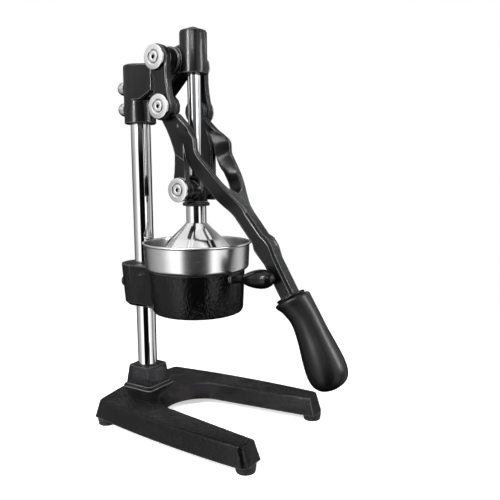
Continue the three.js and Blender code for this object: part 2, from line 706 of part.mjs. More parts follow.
function makeCup() {
  const slopeStart = cupSeatRadius * funnelStartShare;
  const outer = [
    [funnelSpoutRadius, spoutTop - funnelSpoutLength], [funnelSpoutRadius, spoutTop],
    [slopeStart, stepBottom], [cupSeatRadius, stepBottom], [cupSeatRadius, cupFloor],
    [cupBottomRadius - cupCorner, cupFloor],
    [cupBottomRadius - cupCorner * roundStartShare, cupFloor + cupCorner * roundStartShare],
    [cupBottomRadius, cupFloor + cupCorner], [cupRimRadius, cupRim - cupLip * 2],
    [cupRimRadius + cupLip, cupRim - cupLip], [cupRimRadius + cupLip * domeStartShare, cupRim],
    [cupRimRadius - cupWall, cupRim - cupLip / 2]];
  const inner = [
    [cupBottomRadius - cupWall, cupFloor + cupCorner],
    [cupBottomRadius - cupCorner * roundStartShare - cupWall, cupFloor + cupCorner * roundStartShare + cupWall / 2],
    [cupBottomRadius - cupCorner - cupWall / 2, cupFloor + cupWall],
    [cupSeatRadius - cupWall, cupFloor + cupWall], [cupSeatRadius - cupWall, stepBottom + cupWall],
    [slopeStart - cupWall / 2, stepBottom + cupWall],
    [funnelSpoutRadius - cupWall, spoutTop + cupWall / 2],
    [funnelSpoutRadius - cupWall, spoutTop - funnelSpoutLength]];
  return turned([...outer, ...inner, outer[0]], largeSides);
}

// Strainer: slotted plate with a turned-up rim and a ribbed reamer cone, hollow below
const plateBottom = strainerTop - strainerPlate;
const plateRadius = cupBottomRadius - cupWall - fitGap;

function reamerRing(share, height) {
  const points = [];
  const count = reamerRibCount * 3;
  for (let i = 0; i < count; i += 1) {
    const angle = (i / count) * Math.PI * 2;
    const radius = share * (reamerRadius - reamerRibDepth + reamerRibDepth * Math.cos(reamerRibCount * angle));
    points.push(new THREE.Vector3(radius * Math.cos(angle), radius * Math.sin(angle), height));
  }
  return points;
}

function makeStrainer() {
  const plateBody = cut(
    pillar(plateRadius, 0, 0, plateBottom, plateBottom + strainerRimHeight, largeSides),
    pillar(plateRadius - strainerPlate, 0, 0, strainerTop, strainerTop + strainerRimHeight, largeSides));
  const cone = loft([
    reamerRing(1, plateBottom),
    ...reamerShares.map(([up, wide]) => reamerRing(wide, strainerTop + reamerHeight * up)),
  ]);
  const coreHeight = reamerHeight - reamerWall * 2;
  const coreRadius = reamerRadius - reamerRibDepth * 2;
  const core = turned([
    [0, plateBottom - cutOver], [coreRadius - reamerWall, plateBottom - cutOver],
    ...reamerShares.slice(0, -2).map(([up, wide]) =>
      [coreRadius * wide - reamerWall, plateBottom + coreHeight * up]),
    [0, plateBottom + coreHeight * reamerShares.at(-2)[0]]], middleSides);
  const slots = [];
  const slotStart = reamerRadius + slotMargin;
  const slotEnd = plateRadius - strainerPlate - slotMargin;
  for (let i = 0; i < slotCount; i += 1) {
    const slot = new THREE.BoxGeometry(slotEnd - slotStart, slotWidth, strainerPlate + cutOver * 2);
    slot.translate((slotStart + slotEnd) / 2, 0, (plateBottom + strainerTop) / 2);
    slot.rotateZ((i / slotCount) * Math.PI * 2);
    slots.push(toSolid(slot));
  }
  return cut(join(plateBody, cone), core, ...slots);
}

// Press bell: solid neck on a fluted hollow dome with a short skirt
function flutedRing(radius, height, depth) {
  const points = [];
  const sector = (Math.PI * 2) / fluteCount;
  const edge = Math.asin(Math.min(fluteHalfWidth / radius, fluteLimitShare));
  for (let i = 0; i < fluteCount; i += 1) {
    const middle = (i + 1 / 2) * sector;
    const stops = [[0, radius - depth], [edge, radius],
      [sector / 2 - (sector / 2 - edge) / 3, radius * panelShare],
      [sector / 2 + (sector / 2 - edge) / 3, radius * panelShare], [sector - edge, radius]];
    stops.forEach(([turn, r]) => {
      const flatten = depth > 0 || r === radius ? r : radius;
      points.push(new THREE.Vector3(
        flatten * Math.cos(middle + turn), flatten * Math.sin(middle + turn), height));
    });
  }
  return points;
}

function makeBell() {
  const domeBottom = bellBottom + bellSkirt;
  const domeHeight = neckBottom - domeBottom;
  const reach = bellRadius - neckRadius;
  const neckTop = crossheadBottom - stackGap;
  const dome = bellShares.map(([up, wide]) =>
    flutedRing(neckRadius + reach * wide, domeBottom + domeHeight * up, fluteDepth));
  const shell = loft([
    flutedRing(bellRadius, bellBottom, fluteDepth),
    ...dome,
    flutedRing(neckRadius, neckBottom + neckFlare, 0),
    flutedRing(neckRadius, neckTop, 0),
  ]);
  const slant = bellWall * Math.SQRT2;
  const hollow = bellShares.slice(1, -1).map(([up, wide]) =>
    [neckRadius + reach * wide - slant - fluteDepth, domeBottom + domeHeight * up]);
  const inside = turned([
    [0, bellBottom - cutOver], [bellRadius - bellWall, bellBottom - cutOver],
    [bellRadius - bellWall, bellBottom + fitGap],
    [bellRadius - bellWall - fluteDepth, domeBottom - bellWall / 2], ...hollow,
    [0, hollow.at(-1)[1]]], largeSides);
  const spigot = pillar(spigotRadius, 0, 0, neckTop - fitGap, neckTop + spigotLength, smallSides);
  return join(cut(shell, inside), spigot);
}

// Crosshead: upright barrel with a flange below and a trunnion across for the lower pins
const crossheadTop = lowerPivot.z + crossheadAbove;
const rodFoot = crossheadTop - rodBite;
const lowerPinTip = rodRadius + fitGap + crossheadWall;

function makeCrosshead() {
  const flangeTop = crossheadBottom + crossheadFlangeHeight;
  const barrel = turned([
    [0, crossheadBottom], [crossheadFlangeRadius - crossheadEdge, crossheadBottom],
    [crossheadFlangeRadius, crossheadBottom + crossheadEdge], [crossheadFlangeRadius, flangeTop - crossheadEdge],
    [crossheadFlangeRadius - crossheadEdge, flangeTop], [crossheadRadius, flangeTop + crossheadEdge],
    [crossheadRadius, crossheadTop - crossheadEdge * 2], [crossheadRadius - crossheadEdge * 2, crossheadTop],
    [0, crossheadTop]], middleSides);
  const reach = forkInner - fitGap;
  const pinHole = [-1, 1].map((side) => spindle(pinRadius + fitGap, lowerPivot,
    side * (lowerPinTip - fitGap), side * (reach + cutOver), middleSides));
  return cut(join(barrel, spindle(trunnionRadius, lowerPivot, -reach, reach, middleSides)), ...pinHole,
    pillar(rodRadius + fitGap, 0, 0, rodFoot - stackGap, crossheadTop + cutOver, middleSides),
    pillar(spigotRadius + fitGap, 0, 0, crossheadBottom - cutOver,
      crossheadBottom + spigotLength, smallSides));
}

// Rod that rises through the guide, domed on top
function makeRod() {
  const top = guideTop + rodOut;
  return turned([
    [0, rodFoot], [rodRadius, rodFoot], [rodRadius, top - rodDome],
    [rodRadius * domeStartShare, top - rodDome * roundStartShare], [0, top]], middleSides);
}

// Bush in the guide
const bushInner = rodRadius + rodGuideGap;
const bushOuter = bushInner + bushWall;

function makeBush() {
  const bottom = guideBottom + guideLip + stackGap;
  const top = guideTop - guideRound;
  return cut(pillar(bushOuter, 0, 0, bottom, top, middleSides),
    pillar(bushInner, 0, 0, bottom - cutOver, top + cutOver, middleSides));
}

// Head casting: column socket with a wide block, a web, the hub of the links and the rod guide
function makeHead() {
  const socket = turned([
    [0, socketBottom], [socketRadius - socketLip / 2, socketBottom],
    [socketRadius, socketBottom + socketLip / 2], [socketRadius, socketTop - socketLip],
    [socketRadius - socketLip * roundStartShare, socketTop - socketLip * roundStartShare],
    [socketRadius - socketLip, socketTop], [0, socketTop]], middleSides, new THREE.Vector3(0, columnSetback, 0));
  const blockBottom = upperPivot.z - blockBelowPivot;
  const block = new THREE.Shape();
  block.moveTo(columnSetback, blockBottom);
  block.lineTo(columnSetback, socketTop);
  block.lineTo(blockFront, socketTop - blockSlope);
  block.lineTo(blockFront, blockBottom + blockChamfer);
  block.lineTo(blockFront + blockChamfer * 2, blockBottom);
  const web = new THREE.Shape();
  web.moveTo(columnSetback - columnRadius, blockBottom + webEdge);
  web.lineTo(blockFront - blockChamfer, blockBottom + webEdge * 2);
  web.lineTo(guideRadius - guideLip / 2, guideBottom);
  web.lineTo(0, guideBottom);
  web.lineTo(0, guideTop - guideRound * 4);
  web.quadraticCurveTo(guideRadius, upperPivot.z + hubRadius, blockFront - blockChamfer, upperPivot.z + hubRadius);
  web.lineTo(blockFront + blockChamfer, socketTop - blockSlope);
  web.lineTo(columnSetback - columnRadius, socketTop - webEdge);
  const guide = turned([
    [0, guideBottom], [guideRadius - guideLip / 2, guideBottom], [guideRadius, guideBottom + guideLip / 2],
    [guideRadius, guideTop - guideRound],
    [guideRadius - guideRound * roundStartShare, guideTop - guideRound * roundStartShare],
    [guideRadius - guideRound, guideTop], [0, guideTop]], middleSides);
  const hub = spindle(hubRadius, upperPivot, -armOuter, armOuter, middleSides);
  const hubCollar = spindle(hubCollarRadius, upperPivot, hubCollarLength - forkInner, forkInner - hubCollarLength,
    middleSides);
  const padReach = columnSetback + socketRadius + headBoltPad;
  const pads = headBoltHeights.map((height) =>
    rearward(headBoltDomeRadius, height, columnSetback, padReach, middleSides));
  const body = join(socket, plate(block, -blockHalfWidth, blockHalfWidth, webEdge),
    plate(web, -webHalfWidth, webHalfWidth, webEdge), guide, hub, hubCollar, ...pads);
  return cut(body,
    pillar(columnRadius + fitGap, 0, columnSetback, socketBottom - cutOver, columnTop + stackGap, middleSides),
    pillar(bushInner + fitGap, 0, 0, guideBottom - cutOver, guideTop + cutOver, middleSides),
    pillar(bushOuter + fitGap, 0, 0, guideBottom + guideLip, guideTop + cutOver, middleSides),
    spindle(pinRadius + fitGap, upperPivot, -armOuter - cutOver, armOuter + cutOver, middleSides),
    ...headBoltHeights.map((height) =>
      rearward(headBoltRadius + fitGap, height, columnSetback, padReach + cutOver, smallSides)));
}

// Domed clamp bolt, drawn from its tip along +Y
function makeHeadBolt() {
  const seat = headBoltBite + socketRadius - columnRadius + headBoltPad + stackGap;
  const dome = domeShares.map(([along, wide]) =>
    [headBoltDomeRadius * wide, seat + headBoltFlat + headBoltDomeHeight * along]);
  return turned([
    [0, 0], [headBoltRadius, 0], [headBoltRadius, seat], [headBoltDomeRadius, seat], ...dome,
  ], capSides, new THREE.Vector3(), backward);
}

// Link: two round ends, a slightly waisted front flank and a deeply waisted rear flank
function makeLink() {
  const run = middlePivot.clone().sub(upperPivot);
  const along = Math.atan2(run.z, run.y);
  const flank = new THREE.Vector2(Math.cos(along + Math.PI / 2), Math.sin(along + Math.PI / 2));
  const waist = (reach) => new THREE.Vector2(middlePivot.y + upperPivot.y, middlePivot.z + upperPivot.z)
    .divideScalar(2).addScaledVector(flank, reach * 2 - Math.sign(reach) * linkEndRadius);
  const front = waist(-linkWaistFront);
  const rear = waist(linkWaistRear);
  const outline = new THREE.Shape();
  outline.absarc(upperPivot.y, upperPivot.z, linkEndRadius, along + Math.PI / 2, along + Math.PI * 1.5, false);
  outline.quadraticCurveTo(front.x, front.y,
    middlePivot.y - flank.x * linkEndRadius, middlePivot.z - flank.y * linkEndRadius);
  outline.absarc(middlePivot.y, middlePivot.z, linkEndRadius, along - Math.PI / 2, along + Math.PI / 2, false);
  outline.quadraticCurveTo(rear.x, rear.y,
    upperPivot.y + flank.x * linkEndRadius, upperPivot.z + flank.y * linkEndRadius);
  const body = plate(outline, linkInner, linkOuter, linkEdge);
  return cut(body, ...[upperPivot, middlePivot].map((pivot) =>
    spindle(pinRadius + fitGap, pivot, linkInner - cutOver, linkOuter + cutOver, middleSides)));
}

// Pins and caps: drawn along +X from the press axis, turned round for the other side
const capFace = [
  [capRadius, 0], [capRadius, capThickness - capEdge], [capRadius - capEdge, capThickness],
  [capGrooveRadius + capGrooveWidth, capThickness], [capGrooveRadius + capGrooveWidth / 2, capThickness - capGrooveDepth],
  [capGrooveRadius, capThickness], [capSocketRadius, capThickness],
  [capSocketRadius, capThickness - capSocketDepth], [0, capThickness - capSocketDepth]];
const capPlace = (outside) => outside + washerThickness + stackGap * 2;

function makeCapPin(radius, tip, outside) {
  const seat = capPlace(outside);
  return turned([[0, tip], [radius, tip], [radius, seat], ...capFace.map(([r, h]) => [r, seat + h])],
    capSides, new THREE.Vector3(), across);
}

function makeWasher(outside) {
  const from = outside + stackGap;
  return turned([
    [pinRadius + fitGap, from], [washerRadius, from], [washerRadius, from + washerThickness],
    [pinRadius + fitGap, from + washerThickness], [pinRadius + fitGap, from],
  ], smallSides, new THREE.Vector3(), across);
}

function makeUpperAxle() {
  const end = capPlace(linkOuter) - stackGap;
  const holes = [-1, 1].map((side) => spindle(capStudRadius + fitGap, new THREE.Vector3(),
    side * (end - capStudLength), side * (end + cutOver), smallSides));
  return cut(spindle(pinRadius, new THREE.Vector3(), -end, end, middleSides), ...holes);
}

// Lever: two flat arms with a flared front, which bend in below the pivots and close to one bar
const leverPoint = (forward, above) => new THREE.Vector2(-forward, lowerPivot.z + above);
const downSlope = (angle) => new THREE.Vector2(-Math.cos(angle), -Math.sin(angle));
const barStart = leverPoint(pivotDrop * barStartShare, -pivotDrop * barDropShare);
const knuckle = leverPoint(knuckleReach, -knuckleDrop);
const barEnd = knuckle.clone().addScaledVector(downSlope(barLowerAngle), barLowerLength);

function armOutline() {
  const outline = new THREE.Shape();
  const rearEnd = new THREE.Vector2(Math.cos(upperBossRearAngle), Math.sin(upperBossRearAngle))
    .multiplyScalar(armBossRadius);
  outline.absarc(middlePivot.y, middlePivot.z, armBossRadius, upperBossRearAngle, upperBossFrontAngle, false);
  outline.quadraticCurveTo(-branchFront, lowerPivot.z + pivotDrop * rearBendShare,
    -branchFront, lowerPivot.z + pivotDrop * frontBendShare);
  outline.lineTo(-branchFront, lowerPivot.z + pivotDrop * notchShare / 2);
  outline.absarc(0, lowerPivot.z, lowerBossRadius, lowerBossFrontAngle, lowerBossRearAngle, false);
  outline.quadraticCurveTo(branchRear, lowerPivot.z + lowerBossRadius,
    branchRear, lowerPivot.z + pivotDrop * rearWaistShare);
  outline.quadraticCurveTo(branchRear * 2, lowerPivot.z + pivotDrop * rearBendShare,
    middlePivot.y + rearEnd.x, middlePivot.z + rearEnd.y);
  return outline;
}

// Ring with cut corners between a front and a back point of the lever's plane. The faces are
// given at the front and at the back, and how far the back leans forward on one side last.
function barRing(front, back, [from, to], [backFrom, backTo], edge, lean) {
  const inward = back.clone().sub(front).normalize();
  const corner = (x, point, shift) => {
    const { x: y, y: z } = point.clone().addScaledVector(inward, shift);
    return new THREE.Vector3(x, y, z);
  };
  return [
    corner(from + edge, front, 0), corner(to - edge, front, 0), corner(to, front, edge),
    corner(backTo, back, -edge), corner(backTo - edge, back, 0), corner(backFrom + edge, back, -lean),
    corner(backFrom, back, -lean - edge), corner(from, front, edge)];
}

// Smooth curve through rows of numbers, with extra rows between them
function smoothRows(rows, steps) {
  const at = (index) => rows[Math.min(Math.max(index, 0), rows.length - 1)];
  const made = [];
  for (let i = 0; i + 1 < rows.length; i += 1) {
    for (let step = 0; step < steps; step += 1) {
      const t = step / steps;
      const curve = (before, start, stop, after) => new THREE.CubicBezierCurve(
        new THREE.Vector2(start, 0), new THREE.Vector2(start + (stop - before) * bendShare, 0),
        new THREE.Vector2(stop - (after - start) * bendShare, 0), new THREE.Vector2(stop, 0)).getPoint(t).x;
      made.push(at(i).map((value, k) => curve(at(i - 1)[k], value, at(i + 1)[k], at(i + 2)[k])));
    }
  }
  return [...made, rows.at(-1)];
}

// The low part of an arm's outer face
function stepOutline() {
  const outline = new THREE.Shape();
  outline.moveTo(armStepRing, lowerPivot.z + pivotDrop * stepRearShare);
  outline.quadraticCurveTo(0, lowerPivot.z + pivotDrop * stepMiddleShare,
    -armStepRing, lowerPivot.z + pivotDrop * stepFrontShare);
  outline.lineTo(-armStepRing, lowerPivot.z);
  outline.absarc(0, lowerPivot.z, armStepRing, Math.PI, 0, true);
  return outline;
}

function makeArm(side) {
  const faces = [side * forkInner, side * armOuter].sort((a, b) => a - b);
  const low = [side * (armOuter - armStepDepth), side * (armOuter + cutOver)].sort((a, b) => a - b);
  const flank = cut(plate(armOutline(), faces[0], faces[1], armEdge), plate(stepOutline(), low[0], low[1], 0));
  const rings = smoothRows(forkShares, forkSteps).map(
    ([frontOut, frontUp, backOut, backUp, outer, inner, backOuter, backInner, lean]) => {
      const ring = barRing(
        leverPoint(pivotDrop * frontOut, pivotDrop * frontUp),
        leverPoint(pivotDrop * backOut, pivotDrop * backUp),
        [armOuter * inner, armOuter * outer], [armOuter * backInner, armOuter * backOuter],
        armEdge, pivotDrop * lean);
      return ring.map(({ x, y, z }) => new THREE.Vector3(side * x, y, z));
    });
  return join(flank, loft(rings));
}

function makeLever() {
  const upper = knuckle.clone().sub(barStart).normalize();
  const lower = downSlope(barLowerAngle);
  const section = (point, direction, swell) => {
    const deep = new THREE.Vector2(-direction.y, direction.x).multiplyScalar(barHalfDepth + swell);
    const wide = barHalfWidth + swell / 2;
    const faces = [-wide, wide];
    const edge = barHalfDepth * barEdgeShare;
    return barRing(point.clone().sub(deep), point.clone().add(deep), faces, faces, edge, 0);
  };
  const bend = upper.clone().add(lower).normalize();
  const bar = loft([
    section(barStart, upper, 0),
    section(knuckle.clone().addScaledVector(upper, -knuckleHalfLength), upper, 0),
    section(knuckle.clone().addScaledVector(upper, -knuckleHalfLength / 2), upper, knuckleSwell),
    section(knuckle, bend, knuckleSwell),
    section(knuckle.clone().addScaledVector(lower, knuckleHalfLength / 2), lower, knuckleSwell / 2),
    section(knuckle.clone().addScaledVector(lower, knuckleHalfLength), lower, 0),
    section(barEnd, lower, 0),
  ]);
  const body = join(makeArm(1), makeArm(-1), bar);
  const reach = armOuter + cutOver;
  return cut(body,
    spindle(pinRadius + fitGap, middlePivot, -reach, reach, middleSides),
    spindle(pinRadius + fitGap, lowerPivot, -reach, reach, middleSides),
    round(gripStudRadius + fitGap, gripLine(-gripStudBite - fitGap), gripLine(cutOver), smallSides));
}

// Grip, its collar and the stud that holds both, along the lower part of the bar
const gripAim = new THREE.Vector3(0, downSlope(barLowerAngle).x, downSlope(barLowerAngle).y);
const gripLine = (along) => new THREE.Vector3(0, barEnd.x, barEnd.y).addScaledVector(gripAim, along);
const gripStart = collarLength + stackGap * 2;

function makeCollar() {
  return cut(
    turned([
      [0, 0], [collarRadius - stackGap * 4, 0], [collarRadius, collarLength / 2],
      [collarRadius - stackGap * 4, collarLength], [0, collarLength],
    ], middleSides, gripLine(stackGap), gripAim),
    round(gripStudRadius + fitGap, gripLine(-cutOver), gripLine(gripStart + cutOver), smallSides));
}

function makeGrip() {
  const forward = new THREE.Vector3(0, gripAim.z, -gripAim.y);
  const rings = gripShares.map(([along, wide, bow]) => {
    const middle = gripLine(gripStart + gripLength * along).addScaledVector(forward, gripRadius * bow);
    return Array.from({ length: middleSides }, (_, i) => {
      const angle = (i / middleSides) * Math.PI * 2;
      return middle.clone()
        .addScaledVector(across, gripRadius * wide * Math.cos(angle))
        .addScaledVector(forward, gripRadius * wide * Math.sin(angle));
    });
  });
  return cut(loft(rings),
    round(gripStudRadius + fitGap, gripLine(0), gripLine(gripStart + gripLength * gripStudShare + fitGap), smallSides));
}

function makeGripStud() {
  return round(gripStudRadius, gripLine(-gripStudBite), gripLine(gripStart + gripLength * gripStudShare), smallSides);
}

// The assembly, one group for each set of pieces that moves as one
const stand = new THREE.Group();
const links = new THREE.Group();
const lever = new THREE.Group();
const slider = new THREE.Group();

// Puts a mesh at a pivot, facing +X or turned round to face -X
function placed(mesh, pivot, side) {
  mesh.position.set(0, pivot.y, pivot.z);
  mesh.rotation.z = side > 0 ? 0 : Math.PI;
  return mesh;
}

// Both copies of a piece that lies across the press
function pair(group, name, solid, look, pivot) {
  const right = piece(`${name}_right`, solid, look);
  group.add(placed(right, pivot, 1), placed(copyOf(right, `${name}_left`), pivot, -1));
}

stand.add(
  piece('base_casting', makeBase(), hammered),
  piece('column', makeColumn(), chrome),
  piece('column_bolt', makeColumnBolt(), zinc),
  piece('column_washer', makeColumnWasher(), zinc),
  piece('cup_holder', makeHolder(), hammered),
  piece('holder_screw', makeHolderScrew(), zinc),
  piece('handle_stem', makeStem(), paint),
  piece('handle_knob', makeKnob(), plastic),
  piece('juice_cup', makeCup(), brushed),
  piece('strainer', makeStrainer(), brushed),
  piece('head_casting', makeHead(), paint),
  piece('guide_bush', makeBush(), bronze),
);
const foot = piece('foot', makeFoot(), rubber);
const footScrew = piece('foot_screw', makeFootScrew(), zinc);
footPlaces.forEach(({ name, x, y }) => {
  [foot, footScrew].forEach((model) => {
    const copy = copyOf(model, `${model.name}_${name}`);
    copy.position.set(x, y, 0);
    stand.add(copy);
  });
});
const headBolt = piece('head_bolt', makeHeadBolt(), chrome);
['upper', 'lower'].forEach((name, i) => {
  const copy = copyOf(headBolt, `head_bolt_${name}`);
  copy.position.set(0, columnSetback + columnRadius - headBoltBite, headBoltHeights[i]);
  stand.add(copy);
});
stand.add(placed(piece('upper_axle', makeUpperAxle(), zinc), upperPivot, 1));
pair(stand, 'upper_washer', makeWasher(linkOuter), zinc, upperPivot);
pair(stand, 'upper_cap', makeCapPin(capStudRadius, capPlace(linkOuter) - capStudLength + fitGap, linkOuter),
  chrome, upperPivot);

const rightLink = piece('link_right', makeLink(), paint);
const leftLink = copyOf(rightLink, 'link_left');
leftLink.position.x = -(linkInner + linkOuter);
links.add(rightLink, leftLink);
pair(links, 'middle_washer', makeWasher(linkOuter), zinc, middlePivot);
pair(links, 'middle_pin', makeCapPin(pinRadius, forkInner, linkOuter), chrome, middlePivot);

lever.add(
  piece('lever_casting', makeLever(), paint),
  piece('grip_collar', makeCollar(), paint),
  piece('grip', makeGrip(), plastic),
  piece('grip_stud', makeGripStud(), zinc),
);

slider.add(
  piece('crosshead', makeCrosshead(), paint),
  piece('press_rod', makeRod(), chrome),
  piece('press_bell', makeBell(), chrome),
);
pair(slider, 'lower_washer', makeWasher(armOuter), zinc, lowerPivot);
pair(slider, 'lower_pin', makeCapPin(pinRadius, lowerPinTip, armOuter), chrome, lowerPivot);

const press = new THREE.Group();
press.add(stand, links, lever, slider);
const outerBox = new THREE.Box3().setFromObject(press);
press.position.set(
  -(outerBox.min.x + outerBox.max.x) / 2, -(outerBox.min.y + outerBox.max.y) / 2, -outerBox.min.z);

export default press;
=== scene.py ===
# %% [markdown]
# This lesson dresses a lever citrus press. The press comes as a fixed frame of CAD solids in
# metres, +Z up, with the lever towards -Y. It could be modelled again in Blender, but then its
# sizes and joints would be lost, so the solids stay. The lesson sets the camera and the light,
# gives each surface its own finish, builds finer pieces where the solids are too plain, and
# rounds the rest.

# %% Load the frame
import json
import math

import bpy
import bmesh
from mathutils import Matrix, Vector


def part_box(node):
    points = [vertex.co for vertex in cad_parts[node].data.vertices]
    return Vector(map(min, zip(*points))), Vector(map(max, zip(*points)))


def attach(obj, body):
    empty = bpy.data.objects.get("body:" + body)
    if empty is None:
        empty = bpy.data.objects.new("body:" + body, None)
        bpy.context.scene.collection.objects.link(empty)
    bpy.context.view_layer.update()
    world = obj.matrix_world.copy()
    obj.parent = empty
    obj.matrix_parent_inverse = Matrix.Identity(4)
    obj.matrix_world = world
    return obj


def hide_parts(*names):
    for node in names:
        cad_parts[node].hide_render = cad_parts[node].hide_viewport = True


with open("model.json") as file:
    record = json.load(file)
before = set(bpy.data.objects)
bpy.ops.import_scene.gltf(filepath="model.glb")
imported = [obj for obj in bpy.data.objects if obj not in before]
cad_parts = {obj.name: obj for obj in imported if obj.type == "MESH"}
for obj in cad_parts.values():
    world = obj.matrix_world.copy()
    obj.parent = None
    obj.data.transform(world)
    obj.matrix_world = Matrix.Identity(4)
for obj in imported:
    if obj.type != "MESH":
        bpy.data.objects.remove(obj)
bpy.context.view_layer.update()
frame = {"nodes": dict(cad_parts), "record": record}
nodes = frame["nodes"]
MM = 0.001


def in_mm(vector):
    return [round(v / MM, 1) for v in vector]


# %% [markdown]
# Nearly every piece of the press is round about one upright line through rod, bell and cup. The
# line could be typed in as a number, but then it would be wrong after any change of the model.
# Here it is read from the rod, and cup, foot, camera and lights are placed by it.

# %% Find the press axis
def middle(node):
    low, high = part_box(node)
    return (low + high) / 2


rod_middle = middle("press_rod")
axis = Vector((rod_middle.x, rod_middle.y, 0))
print("press axis in mm:", in_mm(axis))

# %% [markdown]
# The photograph looks at the press from its left front, a little from above. Such a view can be
# found by eye, but here it was worked out from the outlines of the column, the cup, the caps and
# the feet, which gives the place, the three turns and the lens at once. The camera's matrix is
# built from its three directions, because that keeps the small roll exact.

# %% Camera
CAMERA_PLACE = Vector((-497.9, -382.3, 275.4)) * MM
CAMERA_YAW, CAMERA_PITCH, CAMERA_ROLL = (math.radians(a) for a in (-57.71, 7.60, -0.37))
LENS_PIXELS, IMAGE_PIXELS, SENSOR, NEAREST = 584.0, 500, 36.0, 0.01

forward = Vector((-math.sin(CAMERA_YAW) * math.cos(CAMERA_PITCH),
                  math.cos(CAMERA_YAW) * math.cos(CAMERA_PITCH), -math.sin(CAMERA_PITCH)))
level = Vector((math.cos(CAMERA_YAW), math.sin(CAMERA_YAW), 0))
upright = level.cross(forward)
right = level * math.cos(CAMERA_ROLL) + upright * math.sin(CAMERA_ROLL)
up = upright * math.cos(CAMERA_ROLL) - level * math.sin(CAMERA_ROLL)
camera_data = bpy.data.cameras.new("camera")
camera_data.lens = SENSOR * LENS_PIXELS / IMAGE_PIXELS
camera_data.sensor_width = SENSOR
camera_data.clip_start = NEAREST
camera = bpy.data.objects.new("camera", camera_data)
facing = Matrix((right, up, -forward)).transposed().to_4x4()
camera.matrix_world = Matrix.Translation(axis + CAMERA_PLACE) @ facing
bpy.context.collection.objects.link(camera)
bpy.context.scene.camera = camera
print("lens in mm:", round(camera_data.lens, 2))

# %% [markdown]
# World, floor and finishes are node trees. They are mostly wired by hand in the editor, but a
# script has to say them in words. One helper adds a node, sets it up, and feeds each input with a
# number or with the output of an earlier node, so that a tree reads from its source to its end.
# The others are short names for the nodes that come up most.

# %% Add nodes
def feed(tree, node, inputs):
    for name, value in inputs.items():
        if isinstance(value, bpy.types.NodeSocket):
            tree.links.new(value, node.inputs[name])
        else:
            node.inputs[name].default_value = value
    return node


def add(tree, kind, inputs=None, **settings):
    node = tree.nodes.new(kind)
    for name, value in settings.items():
        setattr(node, name, value)
    return feed(tree, node, inputs or {})


def maths(tree, operation, *values, clamp=False):
    node = add(tree, "ShaderNodeMath", dict(enumerate(values)), operation=operation, use_clamp=clamp)
    return node.outputs[0]


def vector_maths(tree, operation, *values):
    node = add(tree, "ShaderNodeVectorMath", dict(enumerate(values)), operation=operation)
    return node.outputs["Value" if operation in ("DOT_PRODUCT", "LENGTH") else "Vector"]


def map_range(tree, value, start, stop, low=0.0, high=1.0):
    ranges = {"Value": value, "From Min": start, "From Max": stop, "To Min": low, "To Max": high}
    return add(tree, "ShaderNodeMapRange", ranges).outputs[0]


def grey_ramp(tree, value, stops):
    """Greys between stops of (place, grey). The first and the last grey hold beyond their places."""
    node = add(tree, "ShaderNodeValToRGB", {"Fac": value})
    points = node.color_ramp.elements
    for point, (place, grey) in zip(points, (stops[0], stops[-1])):
        point.position, point.color = place, (grey, grey, grey, 1)
    for place, grey in stops[1:-1]:
        points.new(place).color = (grey, grey, grey, 1)
    return node.outputs["Color"]


def camera_sees(tree, shown, otherwise):
    """One shader for the camera's own rays, and another for all light that bounces."""
    path = add(tree, "ShaderNodeLightPath").outputs["Is Camera Ray"]
    return add(tree, "ShaderNodeMixShader", {0: path, 1: otherwise, 2: shown}).outputs[0]


WHITE = (1, 1, 1, 1)
print("one helper for all nodes, and short names for the commonest")

# %% [markdown]
# A product picture of black paint and chrome lives from what the surfaces mirror. Here they
# mirror a room that is dark towards the camera and behind the press and bright on both sides,
# which gives the chrome its black bands and the flat sides their soft gradients. Cards beside the
# press could do this as well, but other views would show them. The world is never in the way,
# because the camera sees it plain white.

# %% Room
# Brightness by bearing, in degrees to the right of the line from press to camera.
STRIPS = [(-180, 0.003), (-134, 0.003), (-122, 0.2), (-108, 0.3), (-91, 0.42), (-75, 0.5),
          (-69, 0.62), (-62, 0.95), (-50, 1.2), (-42, 1.6), (-34, 1.6), (-24, 0.003), (30, 0.003),
          (36, 1.0), (40, 1.7), (44, 1.7), (50, 1.0), (68, 0.9), (76, 0.3), (90, 0.22), (104, 0.6),
          (120, 0.6), (134, 0.003)]
BRIGHTEST = max(grey for _, grey in STRIPS)
CAMERA_BEARING = math.degrees(math.atan2(-forward.y, -forward.x))
GROUND, CEILING, SKY = 0.12, 0.3, 0.3
# Shares of the strips' brightness by height, from straight down at 0 to straight up at 1.
WALL_SHARES = [(0.08, GROUND), (0.25, 1), (0.8, 1), (0.92, CEILING)]
# Shares of an even light that is added to the strips, from level at 0 to straight up at 1.
SKY_SHARES = [(0.03, 0), (0.2, 1), (0.5, 1), (0.7, 0.1)]

world = bpy.data.worlds.new("studio")
bpy.context.scene.world = world
world.use_nodes = True
room = world.node_tree
room.nodes.clear()
direction = add(room, "ShaderNodeTexCoord").outputs["Generated"]
turned = add(room, "ShaderNodeVectorRotate", {"Vector": direction, "Angle": -math.radians(CAMERA_BEARING)},
             rotation_type="Z_AXIS")
split = add(room, "ShaderNodeSeparateXYZ", {0: turned.outputs[0]}).outputs
bearing = map_range(room, maths(room, "ARCTAN2", split["Y"], split["X"]), -math.pi, math.pi)
strips = [((degrees + 180) / 360, grey / BRIGHTEST) for degrees, grey in STRIPS]
walls = grey_ramp(room, bearing, strips + [(1, strips[0][1])])
height = maths(room, "MULTIPLY_ADD", split["Z"], 0.5, 0.5)
shaded_walls = vector_maths(room, "MULTIPLY", walls, grey_ramp(room, height, WALL_SHARES))
sky = grey_ramp(room, split["Z"], [(place, SKY / BRIGHTEST * share) for place, share in SKY_SHARES])
mirrored = add(room, "ShaderNodeBackground",
               {"Color": vector_maths(room, "ADD", shaded_walls, sky), "Strength": BRIGHTEST})
plain = add(room, "ShaderNodeBackground", {"Color": WHITE, "Strength": 1.0})
